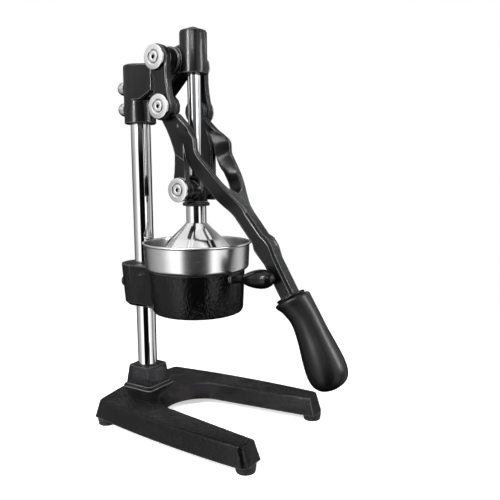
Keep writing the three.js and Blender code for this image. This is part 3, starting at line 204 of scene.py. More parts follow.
seen = camera_sees(room, plain.outputs[0], mirrored.outputs[0])
add(room, "ShaderNodeOutputWorld", {"Surface": seen})
bpy.context.scene.view_settings.view_transform = "Standard"
print("room with", len(STRIPS), "stops, camera at bearing", round(CAMERA_BEARING, 1))

# %% [markdown]
# The press stands on a pale floor that runs out to white, so no horizon shows. A lit plane alone
# would end grey, so the camera sees paper with a little glow near the press and plain white
# further off. For light that bounces the floor is dim, and gloss looks through it to the room,
# because a white mirror image of the floor would wash out all the black paint.

# %% Floor
FLOOR_SIZE, FLOOR_GLOW, FADE_START, FADE_STOP = 40.0, 0.55, 0.25, 0.8
PALE, DIM = (0.9, 0.9, 0.9, 1), (0.16, 0.16, 0.16, 1)

half = FLOOR_SIZE / 2
floor_mesh = bpy.data.meshes.new("floor")
floor_mesh.from_pydata([(-half, -half, 0), (half, -half, 0), (half, half, 0), (-half, half, 0)], [],
                       [(0, 1, 2, 3)])
floor = bpy.data.objects.new("floor", floor_mesh)
bpy.context.collection.objects.link(floor)
floor.visible_glossy = False

floor_finish = bpy.data.materials.new("floor")
floor_finish.use_nodes = True
paper = floor_finish.node_tree
paper.nodes.clear()
matt = add(paper, "ShaderNodeBsdfDiffuse", {"Color": PALE}).outputs[0]
glow = add(paper, "ShaderNodeEmission", {"Color": WHITE, "Strength": FLOOR_GLOW}).outputs[0]
near = add(paper, "ShaderNodeAddShader", {0: matt, 1: glow}).outputs[0]
far = add(paper, "ShaderNodeEmission", {"Color": WHITE, "Strength": 1.0}).outputs[0]
away = vector_maths(paper, "LENGTH", add(paper, "ShaderNodeTexCoord").outputs["Object"])
fade = map_range(paper, away, FADE_START, FADE_STOP)
pale_floor = add(paper, "ShaderNodeMixShader", {0: fade, 1: near, 2: far}).outputs[0]
dim_floor = add(paper, "ShaderNodeBsdfDiffuse", {"Color": DIM}).outputs[0]
add(paper, "ShaderNodeOutputMaterial", {"Surface": camera_sees(paper, pale_floor, dim_floor)})
floor_mesh.materials.append(floor_finish)
print("floor of", FLOOR_SIZE, "m, white beyond", FADE_STOP, "m")

# %% [markdown]
# The room alone leaves the press dull. Two tall lights at its sides draw bright lines on rounded
# edges, a wide one overhead lights what faces up, and two small ones reach the far side and the
# front. Such small lamps give specks where they are mirrored to and fro between cup and bell, so
# their bounces end early, and rays that only hit them by chance don't count. The clean-up after
# rendering could hide the specks too, but it takes the fine texture with them.

# %% Five soft lights
PRESS_MIDDLE, BELL_PLACE, OVERHEAD = (0, 0, 0.22), (0, -0.02, 0.24), (-0.5, 0.43)
# Place and target from the press axis, width and height in metres, power in watts, bounces.
LIGHTS = {
    "light_left": ((-1.0, 0.15, 0.7), PRESS_MIDDLE, (0.2, 0.7), 18, 0),
    "light_right": ((0.35, -1.1, 0.6), PRESS_MIDDLE, (0.2, 0.7), 10, 0),
    "light_top": ((*OVERHEAD, 1.6), (*OVERHEAD, 0.2), (2.2, 2.2), 11, 4),
    "light_far": ((1.0, -0.42, 0.76), BELL_PLACE, (0.4, 0.4), 1, 0),
    "light_front": ((-0.94, -0.45, 1.0), BELL_PLACE, (0.5, 0.22), 6, 0),
}


def soft_light(name, place, target, size, power, bounces):
    data = bpy.data.lights.new(name, "AREA")
    data.cycles.max_bounces = bounces
    data.cycles.use_multiple_importance_sampling = bounces > 0
    data.shape = "RECTANGLE"
    data.size, data.size_y = size
    data.energy = power
    light = bpy.data.objects.new(name, data)
    light.location = axis + Vector(place)
    aim = axis + Vector(target) - light.location
    light.rotation_euler = aim.to_track_quat("-Z", "Y").to_euler()
    bpy.context.collection.objects.link(light)


for name, settings in LIGHTS.items():
    soft_light(name, *settings)
print("lights:", list(LIGHTS))

# %% [markdown]
# Cast iron, paint, chrome and plastic share a few effects: edges that are rounded, rubbed bright
# and given a painted highlight, a hammered skin, fine brushing, and the smudges that break up a
# gloss. They could be built into every material, but a change would then be made many times. Each
# is made once as a shader node group that puts out a mask or a normal, and every material places
# it with its own numbers. The shader itself stays in the material.

# %% Start a node group
SAMPLES_ROUND = 6
SKIN_OUTPUTS = {"Pattern": "Float", "Normal": "Vector"}


def new_group(name, inputs, outputs):
    """A group with inputs as {label: (kind, value)} and outputs as {label: kind}, and what comes in."""
    group = bpy.data.node_groups.new(name, "ShaderNodeTree")
    for label, (kind, value) in inputs.items():
        socket = group.interface.new_socket(label, in_out="INPUT", socket_type="NodeSocket" + kind)
        if value is not None:
            socket.default_value = value
    for label, kind in outputs.items():
        group.interface.new_socket(label, in_out="OUTPUT", socket_type="NodeSocket" + kind)
    return group, add(group, "NodeGroupInput").outputs


def own_place(tree):
    return add(tree, "ShaderNodeTexCoord").outputs["Object"]


def noise(tree, scale, detail, output="Fac"):
    cloud = add(tree, "ShaderNodeTexNoise", {"Vector": own_place(tree), "Scale": scale, "Detail": detail})
    return cloud.outputs[output]


def dented(tree, height, depth, normal, strength=1.0):
    dents = {"Height": height, "Distance": depth, "Normal": normal, "Strength": strength}
    return add(tree, "ShaderNodeBump", dents).outputs[0]


print("every skin puts out", list(SKIN_OUTPUTS))

# %% [markdown]
# Hands and cloths rub paint thin along its edges, and light runs along them as a bright line. The
# light bare metal laid on the edges is partly this wear and partly a painted highlight. The wear
# could be painted on by hand, but then it would have to be painted anew on each piece. The Bevel
# node looks at the faces around a point instead. Where its rounded normal turns away from the flat
# one there is an edge, and broken-up noise keeps the wear from looking drawn on.

# %% Worn edges and painted highlight
FLAT_DOT, EDGE_DOT, SPOT_SCALE = 0.985, 0.87, 210.0
edge_wear_and_highlight, given = new_group(
    "worn_and_highlit_edges", {"Radius": ("Float", 0.001), "Amount": ("Float", 1.0), "Break Up": ("Float", 0.5)},
    {"Mask": "Float", "Normal": "Vector"})
rounded = add(edge_wear_and_highlight, "ShaderNodeBevel", {"Radius": given["Radius"]}, samples=SAMPLES_ROUND).outputs[0]
flat = add(edge_wear_and_highlight, "ShaderNodeNewGeometry").outputs["Normal"]
edge = map_range(edge_wear_and_highlight, vector_maths(edge_wear_and_highlight, "DOT_PRODUCT", rounded, flat), FLAT_DOT, EDGE_DOT)
spared = maths(edge_wear_and_highlight, "MULTIPLY", noise(edge_wear_and_highlight, SPOT_SCALE, 4.0), given["Break Up"])
rubbed_and_highlit = maths(edge_wear_and_highlight, "MULTIPLY", maths(edge_wear_and_highlight, "SUBTRACT", edge, spared), given["Amount"], clamp=True)
add(edge_wear_and_highlight, "NodeGroupOutput", {"Mask": rubbed_and_highlit, "Normal": rounded})
print("group", edge_wear_and_highlight.name)

# %% [markdown]
# Hammered paint draws together into small smooth dimples between raised veins. Real dents in the
# mesh would need millions of faces. A smooth Voronoi in the Bump node gives the dimples, and a
# slow noise makes them differ in size. Where the coat went on thick the paint levels out, so a
# second slow noise fades the dimples in large patches.

# %% Hammered paint
DRIFT_SCALE, DRIFT_REACH, FINE_SCALE, FINE_SHARE = 60.0, 0.006, 620.0, 0.35
COAT_SCALE, COAT_THICK, COAT_THIN, THICK_SHARE = 17.0, 0.42, 0.62, 0.3
hammer, given = new_group(
    "hammered_skin", {"Scale": ("Float", 320.0), "Depth": ("Float", 0.0004), "Normal": ("Vector", None)},
    SKIN_OUTPUTS)
drift = add(hammer, "ShaderNodeVectorMath",
            {0: noise(hammer, DRIFT_SCALE, 2.0, "Color"), "Scale": DRIFT_REACH}, operation="SCALE")
moved = vector_maths(hammer, "ADD", own_place(hammer), drift.outputs[0])
cells = add(hammer, "ShaderNodeTexVoronoi", {"Vector": moved, "Scale": given["Scale"]}, feature="SMOOTH_F1")
relief = maths(hammer, "MULTIPLY_ADD", noise(hammer, FINE_SCALE, 3.0), FINE_SHARE, cells.outputs["Distance"])
coat = map_range(hammer, noise(hammer, COAT_SCALE, 2.0), COAT_THICK, COAT_THIN, low=THICK_SHARE)
depth = maths(hammer, "MULTIPLY", coat, given["Depth"])
add(hammer, "NodeGroupOutput", {"Pattern": relief, "Normal": dented(hammer, relief, depth, given["Normal"])})
print("group", hammer.name)

# %% [markdown]
# A smooth casting still has a faint grain under its paint, moulded plastic has one from its
# mould, and every gloss carries smudges. Two noises do for all of them: a fine one for the grain
# and a slow one for the smudges, which the roughness follows.

# %% Cast grain and smudges
SMUDGE_SCALE = 28.0
grain, given = new_group(
    "cast_grain", {"Scale": ("Float", 500.0), "Depth": ("Float", 0.00005), "Normal": ("Vector", None)},
    SKIN_OUTPUTS)
pitted = dented(grain, noise(grain, given["Scale"], 5.0), given["Depth"], given["Normal"])
add(grain, "NodeGroupOutput", {"Pattern": noise(grain, SMUDGE_SCALE, 6.0), "Normal": pitted})
print("group", grain.name)

# %% [markdown]
# Sheet that was polished on a lathe has fine rings. An anisotropic gloss would stretch the
# highlights but show no line. Here the point is turned into its distance from the middle line and
# its height, which leaves rings in the noise, and a little of the angle goes in as well, so that
# the rings are not endless.

# %% Round brushing
ANGLE_SHARE, LINE_STRENGTH = 0.0025, 0.6
brush, given = new_group(
    "round_brushing", {"Centre": ("Vector", (0, 0, 0)), "Scale": ("Float", 1500.0),
                       "Depth": ("Float", 0.00004), "Normal": ("Vector", None)}, SKIN_OUTPUTS)
centred = vector_maths(brush, "SUBTRACT", own_place(brush), given["Centre"])
split = add(brush, "ShaderNodeSeparateXYZ", {0: centred}).outputs
across = add(brush, "ShaderNodeCombineXYZ", {"X": split["X"], "Y": split["Y"]}).outputs[0]
angle = maths(brush, "MULTIPLY", maths(brush, "ARCTAN2", split["Y"], split["X"]), ANGLE_SHARE)
ringed = add(brush, "ShaderNodeCombineXYZ",
             {"X": vector_maths(brush, "LENGTH", across), "Y": angle, "Z": split["Z"]})
streaks = add(brush, "ShaderNodeTexNoise",
              {"Vector": ringed.outputs[0], "Scale": given["Scale"], "Detail": 3.0}).outputs["Fac"]
lines = dented(brush, streaks, given["Depth"], given["Normal"], LINE_STRENGTH)
add(brush, "NodeGroupOutput", {"Pattern": streaks, "Normal": lines})
print("group", brush.name)

# %% [markdown]
# Grooves, sockets and the lines where two pieces meet lie in shade, and here that shade is painted
# into the colour. Dark lines could be drawn there, but only one by one. The Ambient Occlusion node
# measures how closed in a point is, and a steep ramp turns that into a mask of painted shade for
# all of them.

# %% Painted shade in corners
OPEN_SHARE, CLOSED_SHARE = 0.92, 0.5
corner_shade, given = new_group(
    "corner_painted_shade", {"Reach": ("Float", 0.002), "Amount": ("Float", 1.0)}, {"Mask": "Float"})
opened = add(corner_shade, "ShaderNodeAmbientOcclusion", {"Distance": given["Reach"]}, samples=SAMPLES_ROUND)
painted_shade = map_range(corner_shade, opened.outputs["AO"], OPEN_SHARE, CLOSED_SHARE)
add(corner_shade, "NodeGroupOutput", {"Mask": maths(corner_shade, "MULTIPLY", painted_shade, given["Amount"], clamp=True)})
print("group", corner_shade.name)

# %% [markdown]
# The inside of the cup lies in shade, and this shade is painted into its colour as a darker grey.
# Two materials on one sheet would meet in a hard line on the lip. A point lies on the inside of a
# turned cup when its surface looks towards the middle line, and the dot product of the normal with
# the way out from that line tells it.

# %% Painted shade inside the cup
LOOKS_ASIDE, LOOKS_IN = -0.1, -0.6
inside_shade, given = new_group("painted_inside_shade", {"Centre": ("Vector", None)}, {"Mask": "Float"})
surface = add(inside_shade, "ShaderNodeNewGeometry").outputs
outward = vector_maths(inside_shade, "SUBTRACT", surface["Position"], given["Centre"])
level_outward = vector_maths(inside_shade, "NORMALIZE", vector_maths(inside_shade, "MULTIPLY", outward, (1, 1, 0)))
looks_out = vector_maths(inside_shade, "DOT_PRODUCT", level_outward, surface["Normal"])
add(inside_shade, "NodeGroupOutput", {"Mask": map_range(inside_shade, looks_out, LOOKS_ASIDE, LOOKS_IN)})
print("group", inside_shade.name)

# %% [markdown]
# Each finish is one material with the Principled shader in it. What is the same everywhere, such
# as the strength of the gloss, is set on the shader. What changes over the surface, such as the
# roughness under a smudge, the bare metal and painted highlight on an edge, or the painted shade
# in corners and inside the cup, comes from the groups.

# %% Build a finish
BARE_IRON_AND_HIGHLIGHT, SHADE_BLACK, DARKER, LIGHTER = (0.62, 0.63, 0.65), (0.01, 0.01, 0.01), 0.88, 1.08
FINE_GRAIN = (grain, {"Scale": 500.0, "Depth": 0.000003})
BRUSHED = (brush, {"Centre": tuple(axis), "Scale": 2600.0, "Depth": 0.000002})


def place_group(tree, group, inputs):
    return add(tree, "ShaderNodeGroup", inputs, node_tree=group).outputs


def mixed(tree, mask, first, second):
    """Two colours by a mask. A colour is three numbers or the output of a node."""
    ends = {"A": first, "B": second}
    ends = {name: (*end, 1) if isinstance(end, tuple) else end for name, end in ends.items()}
    return add(tree, "ShaderNodeMix", {"Factor": mask, **ends}, data_type="RGBA").outputs["Result"]


def finish(name, colour, rough, metallic=0.0, shine=0.5, edge=0.0006, wear_and_highlight=0.0, break_up=0.5,
           skin=FINE_GRAIN, painted_shade=0.0, inner=None):
    """A material. Rough is the least and the most roughness, skin a group with its numbers."""
    material = bpy.data.materials.new(name)
    material.use_nodes = True
    tree = material.node_tree
    edges = place_group(tree, edge_wear_and_highlight, {"Radius": edge, "Amount": wear_and_highlight, "Break Up": break_up})
    group, numbers = skin
    surface = place_group(tree, group, {"Normal": edges["Normal"], **numbers})
    # Wear and painted highlight: rubbed edges turn to light bare metal.
    if wear_and_highlight:
        shown = mixed(tree, edges["Mask"], colour, BARE_IRON_AND_HIGHLIGHT)
        metallic = maths(tree, "MAXIMUM", edges["Mask"], metallic)
    else:
        shown = mixed(tree, surface["Pattern"], tuple(c * DARKER for c in colour),
                      tuple(min(1, c * LIGHTER) for c in colour))
    # Painted shade: closed-in corners, grooves and sockets are darkened towards black.
    if painted_shade:
        shown = mixed(tree, place_group(tree, corner_shade, {"Amount": painted_shade})["Mask"], shown, SHADE_BLACK)
    # Painted shade: faces that look towards the middle line are darkened to the inner grey.
    if inner:
        shown = mixed(tree, place_group(tree, inside_shade, {"Centre": tuple(axis)})["Mask"], shown, inner)
    feed(tree, tree.nodes["Principled BSDF"], {
        "Base Color": shown, "Metallic": metallic, "Specular IOR Level": shine,
        "Roughness": map_range(tree, surface["Pattern"], 0, 1, *rough), "Normal": surface["Normal"]})
    return material


# The bare metal on edges is partly worn paint and partly a painted highlight.
print("bare metal under worn paint:", BARE_IRON_AND_HIGHLIGHT)

# %% [markdown]
# The press has hammered paint on foot and cup holder, plain black paint on its other castings,
# chrome on what is turned, brushed steel on the sheet, and black plastic in the hand. Ready-made
# metals from a library would be quicker, but none has this paint. Edge is the radius of the
# rounded edges in metres, and shine is the strength of the mirror on what isn't metal.

# %% Finishes
BLACK = (0.002, 0.002, 0.0022)
LOOKS = {
    "hammered_paint": dict(colour=BLACK, rough=(0.08, 0.17), shine=0.3, edge=0.0018, wear_and_highlight=0.32,
                           break_up=0.2, skin=(hammer, {"Scale": 520.0, "Depth": 0.0011})),
    "black_paint": dict(colour=BLACK, rough=(0.2, 0.3), shine=0.3, edge=0.0016, wear_and_highlight=0.42,
                        break_up=0.12, skin=(grain, {"Scale": 900.0, "Depth": 0.00003})),
    "polished_steel": dict(colour=(0.9, 0.9, 0.91), rough=(0.03, 0.05), metallic=1.0, edge=0.0003,
                           painted_shade=1.0, skin=(grain, {"Scale": 120.0, "Depth": 0.0})),
    "brushed_steel": dict(colour=(0.84, 0.84, 0.84), rough=(0.2, 0.3), metallic=1.0, edge=0.0003,
                          painted_shade=0.6, skin=BRUSHED),
    "zinc_steel": dict(colour=(0.05, 0.05, 0.055), rough=(0.3, 0.5), metallic=1.0, edge=0.0003, painted_shade=1.0),
    "bronze": dict(colour=(0.5, 0.32, 0.14), rough=(0.3, 0.45), metallic=1.0, edge=0.0003),
    "grip_plastic": dict(colour=(0.003, 0.003, 0.003), rough=(0.3, 0.38), shine=0.3, edge=0.0008,
                         skin=(grain, {"Scale": 1400.0, "Depth": 0.00002})),
    "knob_plastic": dict(colour=(0.003, 0.003, 0.003), rough=(0.1, 0.16), shine=0.35, edge=0.0008),
    "foot_rubber": dict(colour=(0.012, 0.012, 0.012), rough=(0.6, 0.8), edge=0.0008),
}
FINISHES = {name: finish(name, **look) for name, look in LOOKS.items()}
print("finishes:", list(FINISHES))

# %% [markdown]
# A round piece that is made of flat faces shows each of them as a band. Shading the whole piece
# smooth would bend the light at its real edges too. A small tree of geometry nodes joins doubled
# corners, shades all faces smooth, and keeps an edge hard where two faces meet at a real angle.

# %% Smooth by angle
EDGE_ANGLE, SAME_POINT = math.radians(32), 0.000005
smoothing = bpy.data.node_groups.new("smooth_by_angle", "GeometryNodeTree")
for way in ("INPUT", "OUTPUT"):
    smoothing.interface.new_socket("Geometry", in_out=way, socket_type="NodeSocketGeometry")
given = add(smoothing, "NodeGroupInput").outputs
joined = add(smoothing, "GeometryNodeMergeByDistance", {"Geometry": given[0], "Distance": SAME_POINT})
soft = add(smoothing, "GeometryNodeSetShadeSmooth", {"Geometry": joined.outputs[0]}, domain="FACE")
corner_angle = add(smoothing, "GeometryNodeInputMeshEdgeAngle").outputs["Unsigned Angle"]
sharp = add(smoothing, "FunctionNodeCompare", {"A": corner_angle, "B": EDGE_ANGLE}, operation="GREATER_THAN")
hard = add(smoothing, "GeometryNodeSetShadeSmooth",
           {"Geometry": soft.outputs[0], "Selection": sharp.outputs[0], "Shade Smooth": False}, domain="EDGE")
add(smoothing, "NodeGroupOutput", {0: hard.outputs[0]})
print("edges stay hard over", round(math.degrees(EDGE_ANGLE)), "degrees")

# %% [markdown]
# Chrome is a mirror, so it shows every flat of a coarse solid as a kink in the bright bands. The
# real column, rod and caps are turned, the cup is spun from sheet and the bell is cast, all of
# them truly round, and so they are made again here with far more steps and with rounded lips.
# Blender's Screw modifier could turn a profile, but it can't change the section on the way. Rings
# of points that are joined face by face can: a ring may be round, six-sided for a wrench socket,
# or fluted like the bell.

# %% Join rings into a piece
bodies = frame["record"]["behaviour"]["bodies"]
body_of = {name: body for body, names in bodies.items() for name in names}
slot_of = {part["node"]: part["material_slot"] for part in frame["record"]["subparts"]}


def joined_rings(name, rings, closed=False, caps=False):
    """A piece from rings of points. A ring of one point closes an end."""
    mesh = bmesh.new()
    rows = [[mesh.verts.new(point) for point in ring] for ring in rings]
    pairs = list(zip(rows, rows[1:])) + ([(rows[-1], rows[0])] if closed else [])
    for near, far in pairs:
        for i in range(max(len(near), len(far))):
            corners = [near[i % len(near)], near[(i + 1) % len(near)],
                       far[(i + 1) % len(far)], far[i % len(far)]]
            mesh.faces.new(list(dict.fromkeys(corners)))
    if caps:
        mesh.faces.new(rows[0])
        mesh.faces.new(rows[-1])
    bmesh.ops.recalc_face_normals(mesh, faces=mesh.faces[:])
    data = bpy.data.meshes.new(name)
    mesh.to_mesh(data)
    mesh.free()
    piece = bpy.data.objects.new(name, data)
    bpy.context.collection.objects.link(piece)
    return piece


def stand_in(piece, node, surface=None):
    """Let a new piece take a solid's place on its body, in the slot's finish or the given surface."""
    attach(piece, body_of[node])
    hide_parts(node)
    piece.data.materials.append(surface or FINISHES[slot_of[node]])
    piece.modifiers.new("smooth", "NODES").node_group = smoothing
    print(piece.name, "for", node, "-", len(piece.data.polygons), "faces")


print("solids on", len(bodies), "bodies, in", len(set(slot_of.values())), "slots")

# %% [markdown]
# Turned pieces lie along different lines: column and rod stand, pins lie across, and the grip
# leans. Each could be turned upright and then rotated, but a piece that is moved afterwards is
# harder to follow. A place holds the line instead, and every ring is drawn straight into it.

# %% Draw rings about any line
SIDES, CORNER_STEPS, NEARLY_ALONG = 144, 6, 0.9
UP = (0, 0, 1)


def lathe_place(foot, aim):
    """A place at foot with its own third direction along aim."""
    aim = Vector(aim).normalized()
    side = aim.orthogonal().normalized() if abs(aim.x) > NEARLY_ALONG else Vector((1, 0, 0))
    return Matrix.Translation(foot) @ Matrix((side, aim.cross(side), aim)).transposed().to_4x4()


def ring_at(place, height, radius_at):
    angles = (2 * math.pi * i / SIDES for i in range(SIDES))
    return [place @ Vector((radius_at(a) * math.cos(a), radius_at(a) * math.sin(a), height)) for a in angles]


def circle(radius):
    return lambda angle: radius


def hexagon(flat):
    sixth = math.pi / 3
    return lambda angle: flat / math.cos((angle % sixth) - sixth / 2)


def turned_piece(name, profile, place, closed=False):
    """A profile of (radius or section, height) in mm. A radius of nought closes an end in one point."""
    rings = []
    for section, height in profile:
        if section == 0:
            rings.append([place @ Vector((0, 0, height * MM))])
        else:
            outline = section if callable(section) else circle(section)
            rings.append(ring_at(place, height * MM, lambda angle: outline(angle) * MM))
    return joined_rings(name, rings, closed)


def arc(centre, radius, start, stop, steps=CORNER_STEPS):
    """Points of a rounded corner, as (radius, height) pairs, with angles in degrees from outward."""
    turns = (math.radians(start + (stop - start) * i / steps) for i in range(steps + 1))
    return [(centre[0] + radius * math.cos(a), centre[1] + radius * math.sin(a)) for a in turns]


print("rings of", SIDES, "points")

# %% [markdown]
# Column and rod are ground and plated bars with a small chamfer, and the rod ends in a low dome.
# They carry the strongest reflections in the picture. Smooth shading on the coarse solids would
# keep their flats in the outline, so they are drawn again with many steps and nothing else.

# %% Column and rod
COLUMN_RADIUS, BAR_EDGE, COLUMN_HOLE, COLUMN_HOLE_DEPTH = 11.0, 0.8, 4.3, 18.0
ROD_RADIUS, ROD_DOME, DOME_STOP = 7.0, 2.4, 88


def upright_span(node):
    """The place at the foot of an upright node, and its length in mm."""
    low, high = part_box(node)
    foot = (low + high) / 2
    foot.z = low.z
    return lathe_place(foot, UP), (high.z - low.z) / MM


column_place, column_length = upright_span("column")
column_profile = [(0, COLUMN_HOLE_DEPTH), (COLUMN_HOLE, COLUMN_HOLE_DEPTH), (COLUMN_HOLE, 0),
                  (COLUMN_RADIUS - BAR_EDGE, 0), (COLUMN_RADIUS, BAR_EDGE),
                  (COLUMN_RADIUS, column_length - BAR_EDGE), (COLUMN_RADIUS - BAR_EDGE, column_length),
                  (0, column_length)]
stand_in(turned_piece("column_bar", column_profile, column_place), "column")

rod_place, rod_length = upright_span("press_rod")
dome_radius = (ROD_RADIUS ** 2 + ROD_DOME ** 2) / (2 * ROD_DOME)
dome_start = math.degrees(math.asin((dome_radius - ROD_DOME) / dome_radius))
dome = arc((0, rod_length - dome_radius), dome_radius, dome_start, DOME_STOP)
rod_profile = [(0, 0), (ROD_RADIUS - BAR_EDGE, 0), (ROD_RADIUS, BAR_EDGE)] + dome + [(0, rod_length)]
stand_in(turned_piece("rod_bar", rod_profile, rod_place), "press_rod")

# %% [markdown]
# The foot is a horseshoe of cast iron with leaning walls, a soft upper edge and a square socket
# for the column, hollow from below. It could be sculpted, but a casting like this starts from a
# drawing: its outline is one closed line, and the wall, the rounded edge and the hollow are that
# line again with other insets at other heights.

# %% Outline of the foot
FOOT_HEIGHT, FOOT_WALL, DECK, SHELL, EDGE_ROUND = 8.0, 20.0, 8.0, 6.0, 2.2
HALF_WIDTH, NARROWING, SIDE_BULGE = 80.0, 13.0, 4.0
FRONT_REACH, BACK_REACH, BACK_CROWN, BACK_LEAN, BACK_FLAT = 108.0, 99.0, 10.0, 0.12, 0.3
FRONT_CORNER, BACK_CORNER, SHARP_CORNER = 6.5, 5.0, 1.3
LEG_WIDTH, MOUTH_RADIUS, SIDE_DRAFT, END_DRAFT, OUTLINE_STEPS = 22.0, 43.5, 2.0, 5.5, 10


def bend(start, pull, stop):
    """Points of a curve from start to stop, drawn towards pull, without its first point."""
    start, pull, stop = Vector(start), Vector(pull), Vector(stop)
    shares = [i / OUTLINE_STEPS for i in range(1, OUTLINE_STEPS + 1)]
    return [start * (1 - t) ** 2 + pull * 2 * t * (1 - t) + stop * t ** 2 for t in shares]


def foot_outline(side_inset, end_inset):
    """One half from the leg's end round to the middle of the back, its mirror image, and the mouth."""
    corner = max(FRONT_CORNER - side_inset, SHARP_CORNER)
    side, back_side = HALF_WIDTH - side_inset, HALF_WIDTH - NARROWING - side_inset
    front, back = end_inset - FRONT_REACH, BACK_REACH - end_inset
    corner_top = back - BACK_CROWN
    half = [Vector((HALF_WIDTH - LEG_WIDTH + side_inset, front))]
    half += [Vector(p) for p in arc((side - corner, front + corner), corner, -90, 0)]
    half += bend((side, front + corner), ((side + back_side) / 2 + SIDE_BULGE * 2, (front + corner_top) / 2),
                 (back_side, corner_top - BACK_CORNER))
    half += bend((back_side, corner_top - BACK_CORNER), (back_side, corner_top),
                 (back_side - BACK_CORNER, corner_top + BACK_CROWN * BACK_LEAN))
    half += bend(half[-1], (back_side * BACK_FLAT, back), (0, back))
    mirrored_half = [Vector((-p.x, p.y)) for p in reversed(half[:-1])]
    mouth = [Vector(p) for p in arc((0, 0), MOUTH_RADIUS + side_inset, 180, 0, OUTLINE_STEPS * 3)]
    return half + mirrored_half + mouth


def foot_ring(side_inset, end_inset, height):
    return [axis + Vector((p.x, p.y, height)) * MM for p in foot_outline(side_inset, end_inset)]


print("foot outline of", len(foot_outline(0, 0)), "points")

# %% [markdown]
# The socket for the column and the pillars for the foot screws are part of the same casting. Their
# faces could be woven into the foot by hand, but boolean cuts and joins do it from the same sizes
# and keep everything one clean solid. Their result is applied at once, so nothing stays behind.

# %% Cast foot
BOSS_BOTTOM, BOSS_TOP, BOSS_CORNER, BOSS_HEIGHT, BOSS_EDGE = 19.0, 16.4, 4.5, 25.0, 1.0
PLINTH_HEIGHT, PLINTH_RIM, PILLAR_RADIUS, SCREW_HOLE, SCREW_BITE = 3.0, 2.4, 4.6, 2.3, 7.3
COLUMN_CLEARANCE, BOLT_CLEARANCE, COLUMN_WEB, JOIN_OVERRUN, CUT_OVERRUN = 0.3, 5.3, 6.0, 0.5, 2.0
deck_top = FOOT_HEIGHT + FOOT_WALL
hollow_top = deck_top - DECK
plinth_top = deck_top + PLINTH_HEIGHT
boss_top = deck_top + BOSS_HEIGHT
column_bottom = hollow_top + COLUMN_WEB
column_middle = middle("column")


def square_ring(half, height):
    """A square with round corners about the column."""
    corners = [arc((0, 0), BOSS_CORNER, quarter * 90, quarter * 90 + 90) for quarter in range(4)]
    signs = ((1, 1), (-1, 1), (-1, -1), (1, -1))
    reach = half - BOSS_CORNER
    flat = [(x + sx * reach, y + sy * reach) for (sx, sy), corner in zip(signs, corners) for x, y in corner]
    return [Vector((column_middle.x + x * MM, column_middle.y + y * MM, height * MM)) for x, y in flat]


def upright_bar(name, centre, radius, low, high):
    place = lathe_place(Vector((centre.x, centre.y, low * MM)), UP)
    return turned_piece(name, [(0, 0), (radius, 0), (radius, high - low), (0, high - low)], place)


def with_booleans(piece, steps):
    for operation, other in steps:
        modifier = piece.modifiers.new(operation.lower(), "BOOLEAN")
        modifier.operation, modifier.object, modifier.solver = operation, other, "EXACT"
    bpy.context.view_layer.update()
    solid = bpy.data.meshes.new_from_object(piece.evaluated_get(bpy.context.evaluated_depsgraph_get()))
    piece.modifiers.clear()
    piece.data = solid
    for _, other in steps:
        bpy.data.objects.remove(other)
    return piece


rings = [foot_ring(SHELL, SHELL, hollow_top), foot_ring(SHELL - SIDE_DRAFT, SHELL - END_DRAFT, FOOT_HEIGHT),
         foot_ring(-SIDE_DRAFT, -END_DRAFT, FOOT_HEIGHT)]
for x, rise in arc((0, 0), EDGE_ROUND, 0, 90):
    rings.append(foot_ring(EDGE_ROUND - x, EDGE_ROUND - x, deck_top - EDGE_ROUND + rise))
shell = joined_rings("cast_foot", rings, caps=True)

rim = BOSS_BOTTOM + PLINTH_RIM
boss_rows = [(rim, hollow_top), (rim, plinth_top - BOSS_EDGE * 2),
             (rim - BOSS_EDGE / 3, plinth_top - BOSS_EDGE), (BOSS_BOTTOM + BOSS_EDGE, plinth_top),
             (BOSS_BOTTOM, plinth_top + BOSS_EDGE / 2),
             (BOSS_TOP, boss_top - BOSS_EDGE), (BOSS_TOP - BOSS_EDGE / 3, boss_top - BOSS_EDGE / 3),
             (BOSS_TOP - BOSS_EDGE, boss_top)]
boss = joined_rings("boss", [square_ring(half, height) for half, height in boss_rows], caps=True)
steps = [("UNION", boss)]
feet = [middle(f"foot_{end}_{hand}") for end in ("front", "rear") for hand in ("left", "right")]
for foot in feet:
    pillar = upright_bar("pillar", foot, PILLAR_RADIUS, FOOT_HEIGHT, hollow_top + JOIN_OVERRUN)
    steps.append(("UNION", pillar))
for foot in feet:
    hole = upright_bar("hole", foot, SCREW_HOLE, FOOT_HEIGHT - CUT_OVERRUN, FOOT_HEIGHT + SCREW_BITE)
    steps.append(("DIFFERENCE", hole))
bore = upright_bar("bore", column_middle, COLUMN_RADIUS + COLUMN_CLEARANCE, column_bottom - COLUMN_CLEARANCE,
                   boss_top + CUT_OVERRUN)
bolt_hole = upright_bar("bolt_hole", column_middle, BOLT_CLEARANCE, hollow_top - CUT_OVERRUN,
                        column_bottom + CUT_OVERRUN / 2)
steps += [("DIFFERENCE", bore), ("DIFFERENCE", bolt_hole)]
stand_in(with_booleans(shell, steps), "base_casting")

# %% [markdown]
# Six caps close the pivots. Each is a chromed disc with a slightly domed face, a turned groove and
# a six-sided socket for the wrench, and its shank goes through the link. A dark ring in the
# material would do from afar, but the domed face is a mirror, and only a real groove and socket
# break its reflection.

# %% Pivot caps
CAP_RADIUS, CAP_THICKNESS, CAP_ROUND, CAP_ROUND_STOP, CAP_DOME = 12.4, 3.0, 0.7, 80, 0.45
GROOVE_INNER, GROOVE_OUTER, GROOVE_DEPTH, GROOVE_ROUND = 5.1, 7.2, 0.95, 0.25
SOCKET_MOUTH, SOCKET_FLAT, SOCKET_DEPTH, SHANK_EDGE = 2.7, 2.0, 2.2, 0.5
LAND_RADII, HUB_RADIUS = (11.0, 10.0, 9.0, 8.0), 4.0
SHANK_RADII = {"upper_cap": 3.0, "middle_pin": 6.0, "lower_pin": 6.0}


